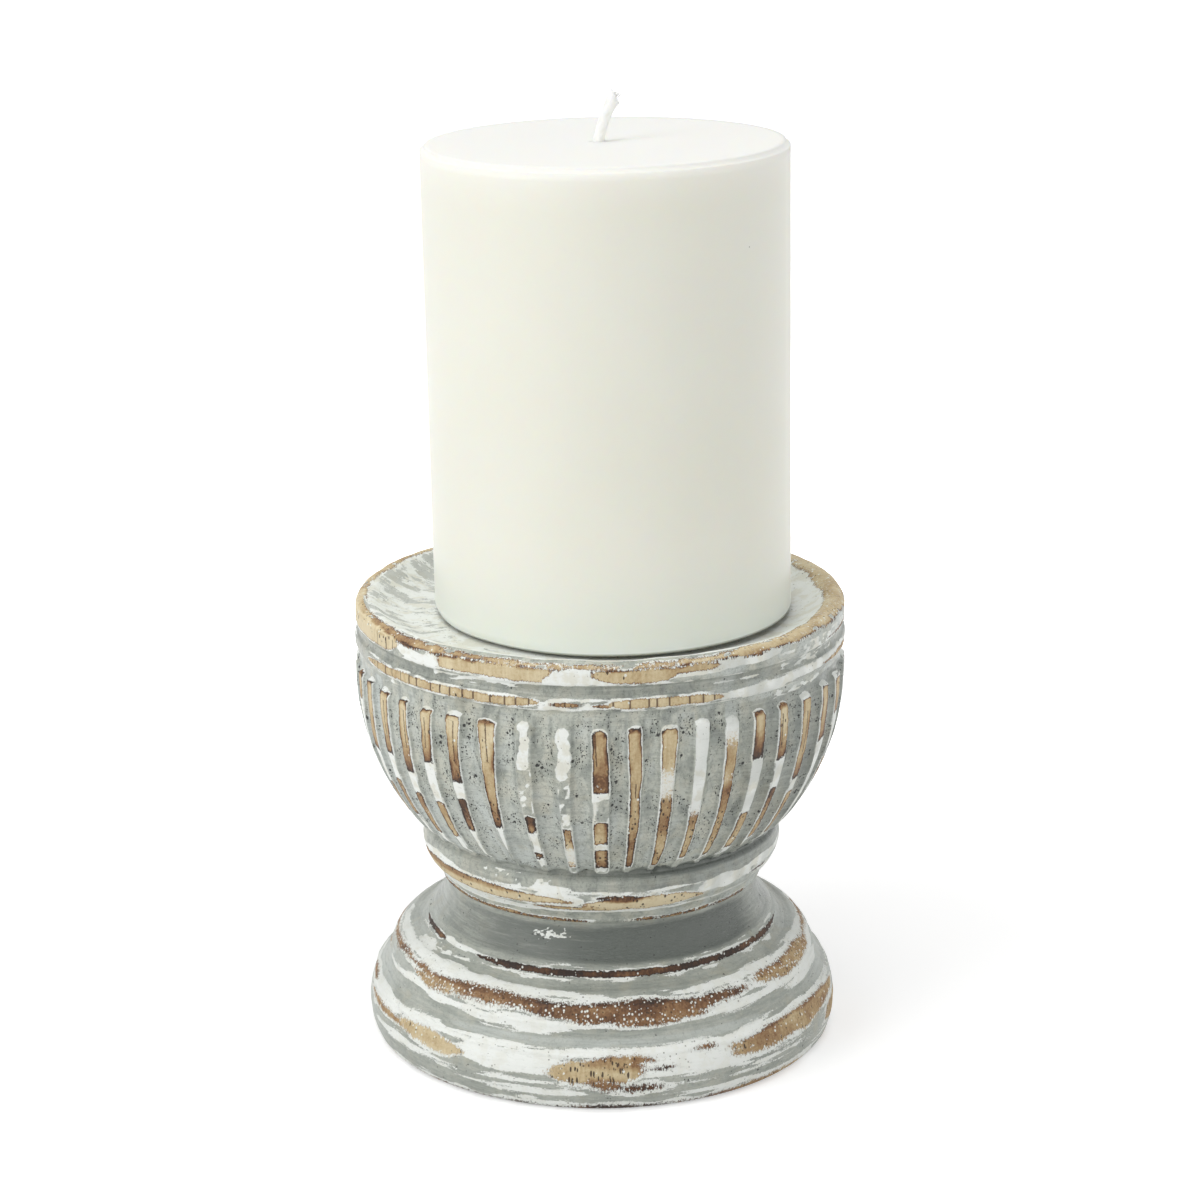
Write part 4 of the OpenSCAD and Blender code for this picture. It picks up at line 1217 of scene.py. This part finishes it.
for field, grid in {
    "bare": np.where(outside | (radius > 40.0), bowl_bare, -FAR_OFF),
    "white": bowl_white,
    "tone": bowl_tone,
    "pitted": pitted,
    "dark_paint_and_shade": np.maximum(np.maximum(collar_painted_shade, painted_corner_shade), groove_painted_shade + right_painted_shade),
    "ragged": np.where(carved, 0.16, off_ribs),
    "dotted": np.where(carved, 0.05, 0.03) + 0.19 * on_lip,
    "cracked": 0.08 + pores,
    "checked": across_grain,
    "faded": np.where(on_lip & (lip >= bowl_bare), lip_fade, bowl_faded),
    "chalk_and_painted_light": chalk_and_painted_light,
    "stroked": 6.0 * in_dish,
    "rayed": in_dish * ray_part,
    "split": split_off,
    "knot": knot_off,
    "run": along,
}.items():
    paint_field(bowl_turning, field, grid)

bowl_paint = sanded_paint(
    "bowl_sanded_paint", ((168, 172, 162), (197, 201, 190)),
    mottle=1.2, burn=0.60, streaky=0.50, pore_long=0.5, smear=0.55,
)
bowl_turning.data.materials.append(bowl_paint)
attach(bowl_turning, "holder")
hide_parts("bowl")


# ---------------------------------------------------------------- Coach screw and washer
# A zinc-plated coach screw pulls the bowl down on the foot from beneath.  Its hexagon head
# bears on a washer in the foot's counterbore, behind the cork.

def zinc_plate(name, tint):
    """Bright zinc with the faint crystals and rub marks of plated hardware."""
    material, place = blank(name)
    crystals, _ = place.cells(700.0)
    stains = place.noise(260.0, 4.0)
    colour = stains.ramp(0.4, 0.7).mix(tint, (150, 150, 146))
    colour = (crystals * 0.3).mix(colour, (205, 206, 200))
    finish(material, colour, stains.scaled(0.3, 0.22), stains, 0.00005, 0.5, {"Metallic": 1.0})
    return material


def dress(node, material):
    """Gives a CAD node its finish."""
    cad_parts[node].data.materials.clear()
    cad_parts[node].data.materials.append(material)


dress("joint_screw", zinc_plate("screw_zinc", (186, 182, 164)))
dress("joint_washer", zinc_plate("washer_zinc", (190, 190, 184)))


# ---------------------------------------------------------------- Cork pad
# A disc of pressed cork granules is glued into the foot's recess and stands a little proud,
# so that the wood never touches the table.

pad_cork, place = blank("pressed_cork")
granules, (granule_shade, _, _) = place.cells(620.0)
dark_specks = place.noise(900.0).ramp(0.62, 0.70)
cork_colour = granule_shade.mix((196, 158, 112), (158, 116, 74))
cork_colour = (dark_specks * 0.7).mix(cork_colour, (88, 58, 36))
finish(pad_cork, cork_colour, 0.9, granules, 0.0002)
dress("cork_pad", pad_cork)


# ---------------------------------------------------------------- Pricket
# The pricket is a forged iron spike with a flange let into the middle of the dish; the
# candle is pushed down over it.  It is blackened, and rubbed brighter towards its tip.

RUBBED_FROM, RUBBED_TO = (DISH_Z + 6.0) * MM, (DISH_Z + 18.0) * MM

pricket_iron, place = blank("blackened_iron")
forge_marks = place.noise(800.0, 4.0, 0.65)
rubbed = place.split()[2].ramp(RUBBED_FROM, RUBBED_TO) * forge_marks
iron_colour = rubbed.mix((52, 51, 50), (150, 148, 144))
iron_rough = forge_marks.scaled(0.3, 0.42)
finish(pricket_iron, iron_colour, iron_rough, forge_marks, 0.0001, plain={"Metallic": 0.9})
dress("pricket", pricket_iron)


# ---------------------------------------------------------------- Candle
# A moulded pillar of ivory wax, three inches across.  Its top edge is softly rounded, its
# bottom edge bevelled, and it stands a little off the holder's axis and leans slightly.

CANDLE_R = 38.5
CANDLE_H = 100.2
CANDLE_SHIFT = 2.8
CANDLE_LEAN = math.radians(0.75)
CANDLE_FOOT = DISH_Z + 0.08 + (CANDLE_R - 1.2) * math.sin(CANDLE_LEAN)
SPIKE_HOLE_R = 2.1
SPIKE_HOLE_TOP = 18.5
WICK_BOTTOM = SPIKE_HOLE_TOP + 4.0
WICK_R = 1.3
WICK_ASIDE = -1.25            # the wick comes out of the wax a little left of the middle
CANDLE_COLUMNS = 320

candle_outline = [
    (SPIKE_HOLE_R, SPIKE_HOLE_TOP, 0.0, 2),
    (SPIKE_HOLE_R, 0.0, 0.0, 6),
    (CANDLE_R - 4.0, 0.0, 0.0, 6),
    (CANDLE_R - 0.12, 0.30, 0.0, 3),
    (CANDLE_R, 0.50, 0.0, 6),
    (CANDLE_R, 2.9, 0.0, 56),
    (CANDLE_R, CANDLE_H - 1.0, -0.29, 9),
    (CANDLE_R - 1.0, CANDLE_H, 0.0, 34),
    (WICK_R + 0.05, CANDLE_H, 0.0, 3),
    (WICK_R + 0.05, WICK_BOTTOM, 0.0, 1),
]
candle_r, candle_z = turning(candle_outline)
candle_angle = np.linspace(0.0, 2 * math.pi, CANDLE_COLUMNS, endpoint=False)
around, reach = np.meshgrid(candle_angle, candle_r)
level = np.repeat(candle_z[:, None], CANDLE_COLUMNS, axis=1)

# The mould leaves the side very slightly wavy
side = (reach > SPIKE_HOLE_R + 1.0) & (level < CANDLE_H - 1.1)
waves = 0.05 * ring_noise(around, level, 61, 14, 16.0)
waves = waves + 0.02 * ring_noise(around, level, 62, 40, 5.0)
bulk = np.where(side & (reach > CANDLE_R - 2.0), reach + waves - 0.04, reach)

# Its bottom edge is rubbed away on the front left, where it once stood on a corner
bearing = (np.degrees(around) + 180.0) % 360.0 - 180.0
rubbed_edge = smooth((bearing + 104.0) / 22.0) * smooth((-6.0 - bearing) / 40.0)
bulk = bulk - 1.1 * rubbed_edge * np.clip((2.3 - level) / 2.3, 0.0, 1.0) * (reach > CANDLE_R - 2.0)

# The top's hollow, and a crease in it that runs from the wick to the right
on_top = (level > CANDLE_H - 0.01) & (reach > 2.0)
east, north = reach * np.sin(around), -reach * np.cos(around)
crease = smooth(1 - np.abs(north - 1.5 - 0.30 * east) / 0.55)
crease = crease * smooth((east - 1.0) / 2.5) * smooth((12.0 - east) / 3.0)
sunk = 0.18 * smooth(1 - reach / 14.0) + 0.22 * crease
level = np.where(on_top, level - sunk, level)


def leaned(across, up):
    """From the candle's own plane, mm right of its axis and up, to the scene's mm."""
    cos, sin = math.cos(CANDLE_LEAN), math.sin(CANDLE_LEAN)
    return CANDLE_SHIFT + across * cos - up * sin, CANDLE_FOOT + across * sin + up * cos


def on_candle(across, up):
    """A point of the candle's own plane, after its shift and lean."""
    x, z = leaned(across, up)
    return x, 0.0, z


# The spike's hole stays on the holder's axis, the rest shifts and leans
hole = (reach < SPIKE_HOLE_R + 0.01) & (level < SPIKE_HOLE_TOP + 0.1)
east, north = bulk * np.sin(around), -bulk * np.cos(around)
lean_x, lean_z = leaned(east, level)
by_wick = smooth((10.0 - reach) / 8.0) * smooth((level - WICK_BOTTOM + 2.0) / 2.0)
x = np.where(hole, east, lean_x + WICK_ASIDE * by_wick)
z = np.where(hole, CANDLE_FOOT - 0.02 * (level < 0.1) + level, lean_z)

pillar = surface(
    "pillar_candle", x, north, z,
    first_pole=(0.0, 0.0, CANDLE_FOOT + SPIKE_HOLE_TOP), last_pole=on_candle(WICK_ASIDE, WICK_BOTTOM),
)
# Painted shadow on the wax's foot edge, where it stands on the dish
paint_field(pillar, "painted_corner_shade", smooth((0.80 - level) / 0.40) * (bulk > CANDLE_R - 3.0))

TOP_Z = CANDLE_FOOT + CANDLE_H - 1.2

wax, place = blank("ivory_wax")
height = place.split()[2]
# Painted light: the top, lit from above, and the 9 mm of side below it are paler
on_top = height.ramp(TOP_Z * MM, (TOP_Z + 0.8) * MM)
painted_light_near_top = height.ramp((TOP_Z - 9.0) * MM, TOP_Z * MM) * 0.6
# Painted shade: the lowest 24 mm of the side are a little darker
painted_shade_near_foot = height.ramp((CANDLE_FOOT + 24.0) * MM, (CANDLE_FOOT + 2.0) * MM) * 0.6
speck, (speck_pick, _, _) = place.cells(130.0)
dust = speck.ramp(0.035, 0.022) * speck_pick.ramp(0.955, 0.96)
clouds = place.noise(25.0, 2.0, 0.4).ramp(0.3, 0.7)
wax_colour = layered(clouds.mix((246, 246, 234), (243, 243, 230)), [
    (on_top.maths("MAXIMUM", painted_light_near_top), (250, 250, 242)),
    (painted_shade_near_foot, (230, 236, 229)),
    (attribute(wax, "painted_corner_shade") * 0.85, (84, 84, 70)),     # painted shadow on the edge that stands on the dish
    (dust * 0.7, (120, 112, 92)),
])
wax_fine = place.noise(700.0, 3.0, 0.5)
wax_rough = on_top.scaled(0.25, wax_fine.scaled(0.16, 0.36))
finish(wax, wax_colour, wax_rough, wax_fine, 0.00003, 0.4, {
    "Subsurface Weight": 0.6,
    "Subsurface Radius": (1.0, 0.8, 0.55),
    "Subsurface Scale": 0.006,
    "Specular IOR Level": 0.4,
})
pillar.data.materials.append(wax)
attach(pillar, "candle")
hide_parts("candle")


# ---------------------------------------------------------------- Wick
# A plaited cotton wick runs down into the wax.  Its free end stands up, leans over and is cut
# on a slant, with a few loose fibres at the cut.

WICK_COLUMNS = 48
WICK_ROWS = 170
WICK_FREE = 9.3               # mm that it stands above the wax
WICK_PLAIT = 3.4              # mm of wick for one turn of a strand
WICK_LOW_ROWS = 30            # rows from the wick's foot to just under the wax's top
WICK_LOW_PART = 0.86


def tubes(centres, tubes_radius, sides):
    """Points of round tubes along many paths at once, paths by rows by sides by 3.  Centres is
    paths by rows by 3; the ring at each row lies square to its path."""
    along_path = np.gradient(centres, axis=1)
    along_path /= np.linalg.norm(along_path, axis=2, keepdims=True)
    first = np.cross(along_path, [0.0, 1.0, 0.0])
    first /= np.linalg.norm(first, axis=2, keepdims=True)
    second = np.cross(along_path, first)
    turn = np.arange(sides) * 2 * math.pi / sides
    rings = first[:, :, None] * np.cos(turn)[:, None] + second[:, :, None] * np.sin(turn)[:, None]
    return centres[:, :, None] + rings * tubes_radius


def wick_path(t):
    """Middle of the wick in the candle's plane, t from 0 at its foot to 1 at its tip, and how
    far along its free end that is.  It is straight in the wax; above, it goes over to the right
    by a part that grows as its height and one that grows as the height's square."""
    up = WICK_BOTTOM + 0.2 + t * (CANDLE_H + WICK_FREE - WICK_BOTTOM - 0.2)
    free = np.clip((up - CANDLE_H) / WICK_FREE, 0.0, 1.0)
    over = WICK_ASIDE + 1.5 * free + 2.1 * free ** 2
    return np.stack([over, np.zeros(len(t)), up], axis=-1), free


wick_t = np.concatenate([
    np.linspace(0.0, WICK_LOW_PART, WICK_LOW_ROWS, endpoint=False),
    np.linspace(WICK_LOW_PART, 1.0, WICK_ROWS - WICK_LOW_ROWS),
])
wick_middle, wick_free = wick_path(wick_t)
turn, _ = np.meshgrid(np.arange(WICK_COLUMNS) * 2 * math.pi / WICK_COLUMNS, wick_t)
run = np.repeat(wick_middle[:, 2:3], WICK_COLUMNS, axis=1) / WICK_PLAIT * 2 * math.pi
left_strand = np.abs(np.cos(1.5 * (turn + run / 3)))
right_strand = np.abs(np.cos(1.5 * (turn - run / 3) + 0.8))
over_under = 0.5 + 0.5 * np.sin(run + 2 * turn)
plait = left_strand * over_under + right_strand * (1 - over_under)
thick = 0.92 + 0.26 * np.repeat(smooth((wick_free - 0.62) / 0.3)[:, None], WICK_COLUMNS, axis=1)
thick = np.where(wick_free[:, None] > 0.0, thick, 0.95)
wick_r = WICK_R * thick * (0.91 + 0.09 * plait)
tangent = np.gradient(wick_middle, axis=0)
tangent /= np.linalg.norm(tangent, axis=1, keepdims=True)
sideways = np.stack([tangent[:, 2], np.zeros(WICK_ROWS), -tangent[:, 0]], axis=-1)
forward = np.cross(tangent, sideways)
ring = sideways[:, None] * np.cos(turn)[..., None] + forward[:, None] * np.sin(turn)[..., None]
slant = -0.9 * np.cos(turn) * smooth((wick_free - 0.8) / 0.2)[:, None]
wick_points = wick_middle[:, None] + ring * wick_r[..., None] + tangent[:, None] * slant[..., None]
wick_x, wick_z = leaned(wick_points[..., 0], wick_points[..., 2])
tip = wick_middle[-1] + tangent[-1] * 0.15
wick_end = on_candle(tip[0], tip[2])
plaited_wick = surface(
    "plaited_wick", wick_x, wick_points[..., 1], wick_z,
    first_pole=on_candle(WICK_ASIDE, WICK_BOTTOM + 0.1), last_pole=wick_end,
)
paint_field(plaited_wick, "strand", plait)

# Loose fibres stand out of the cut and curl away from it
FIBRES = 14                   # in number; sizes below in mm
FIBRE_ROWS = 10
FIBRE_SIDES = 5
FIBRE_R = 0.07

rng = np.random.default_rng(71)
fibre_turn = rng.uniform(0, 2 * math.pi, FIBRES)
fibre_long = rng.uniform(0.9, 2.2, FIBRES)
fibre_out = rng.uniform(0.15, 0.9, FIBRES)
fibre_t = np.linspace(-0.35, 1.0, FIBRE_ROWS)[None, :]
start = np.array(wick_end) + np.array([0.0, 0.0, -0.2])
spread = fibre_t * fibre_long[:, None]
curl = 0.4 * fibre_t ** 2 * fibre_out[:, None] * fibre_long[:, None]
fibre_centres = np.stack([
    start[0] + 0.5 * np.cos(fibre_turn)[:, None] + 0.35 * spread + curl * np.cos(fibre_turn)[:, None],
    start[1] + 0.5 * np.sin(fibre_turn)[:, None] + curl * np.sin(fibre_turn)[:, None],
    start[2] + 0.45 * spread - 0.25 * np.cos(fibre_turn)[:, None],
], axis=-1)
fibre_points = tubes(fibre_centres, FIBRE_R, FIBRE_SIDES)
ring_index = np.arange(FIBRES * FIBRE_ROWS * FIBRE_SIDES).reshape(FIBRES, FIBRE_ROWS, FIBRE_SIDES)
fibre_quads = np.stack([
    ring_index[:, :-1], np.roll(ring_index, -1, axis=2)[:, :-1],
    np.roll(ring_index, -1, axis=2)[:, 1:], ring_index[:, 1:],
], axis=-1).reshape(-1, 4)
fibre_ends = ring_index[:, -1].tolist() + ring_index[:, 0, ::-1].tolist()
fibre_mesh = bpy.data.meshes.new("wick_fibres")
fibre_vertices = fibre_points.reshape(-1, 3) * MM
fibre_mesh.from_pydata(fibre_vertices.tolist(), [], fibre_quads.tolist() + fibre_ends)
fibre_mesh.shade_smooth()
wick_fibres = bpy.data.objects.new("wick_fibres", fibre_mesh)
scene.collection.objects.link(wick_fibres)
paint_field(wick_fibres, "strand", 1.0)

cotton, place = blank("plaited_cotton")
threads = place.stretched(1.0, 1.0, 0.35).noise(4200.0)
# Thread marks, and painted shade: darker where the plait dips between its strands
threads_and_plait_shade = threads.scaled(0.4, attribute(cotton, "strand") * 0.6)
cotton_colour = threads_and_plait_shade.ramp(0.1, 0.85).mix((242, 242, 236), (253, 253, 250))
finish(cotton, cotton_colour, 0.85, threads_and_plait_shade, 0.0001, 0.6, {
    "Subsurface Weight": 0.6,
    "Subsurface Radius": (1.0, 0.9, 0.75),
    "Subsurface Scale": 0.003,
})
for part in (plaited_wick, wick_fibres):
    part.data.materials.append(cotton)
    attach(part, "candle")
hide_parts("wick")


# ---------------------------------------------------------------- Floor, backdrop and lights
# A pale studio table and a white surround.  The floor takes the candlestick's shadow; for the
# camera, for reflections and through glass it is lifted to white.

def seen_plainly(tree):
    """1 for rays from the camera, in reflections and through glass, 0 for the light between."""
    rays = add(tree, "ShaderNodeLightPath").outputs
    straight, glossy = Reading(rays["Is Camera Ray"]), Reading(rays["Is Glossy Ray"])
    return straight.maths("MAXIMUM", glossy).maths("MAXIMUM", Reading(rays["Is Transmission Ray"]))


floor_mesh = bpy.data.meshes.new("floor")
floor_mesh.from_pydata([(-3, -3, 0), (3, -3, 0), (3, 3, 0), (-3, 3, 0)], [], [(0, 1, 2, 3)])
floor = bpy.data.objects.new("floor", floor_mesh)
scene.collection.objects.link(floor)

paper = bpy.data.materials.new("white_paper")
paper.use_nodes = True
tree = paper.node_tree
tree.nodes.clear()
place = Reading(add(tree, "ShaderNodeTexCoord").outputs["Object"])
away = place.new("ShaderNodeVectorMath", {0: place}, "Value", operation="LENGTH")
lift = seen_plainly(tree) * away.ramp(0.10, 0.30).scaled(0.58, 0.42)
plain = place.new("ShaderNodeBsdfDiffuse", {"Color": (0.82, 0.82, 0.82, 1.0)}, 0)
lifted = place.new("ShaderNodeEmission", {"Strength": lift}, 0)
both = place.new("ShaderNodeAddShader", {0: plain, 1: lifted}, 0)
add(tree, "ShaderNodeOutputMaterial", {"Surface": both})
floor.data.materials.append(paper)

world = bpy.data.worlds.new("studio")
scene.world = world
world.use_nodes = True
sky = world.node_tree
sky.nodes.clear()
bright = seen_plainly(sky)
glow = {"Color": (1.0, 1.0, 1.0, 1.0), "Strength": bright.scaled(0.55, 0.45)}
add(sky, "ShaderNodeOutputWorld", {"Surface": bright.new("ShaderNodeBackground", glow, 0)})


def soft_box(name, place, aim, size, watts):
    """A square studio lamp, turned to face a point."""
    lamp = bpy.data.lights.new(name, "AREA")
    lamp.size = size
    lamp.energy = watts
    holder = bpy.data.objects.new(name, lamp)
    scene.collection.objects.link(holder)
    holder.location = place
    holder.rotation_euler = (Vector(aim) - Vector(place)).to_track_quat("-Z", "Y").to_euler()


AIM = (0.0, 0.0, 0.09)        # just under the holder's rim

soft_box("key_lamp", (-1.04, -0.72, 0.72), AIM, 0.8, 7.3)
soft_box("top_lamp", (-0.10, -0.12, 1.30), AIM, 0.9, 5.3)
soft_box("fill_lamp", (1.27, -0.38, 0.45), AIM, 0.8, 2.4)

scene.view_settings.view_transform = "Standard"
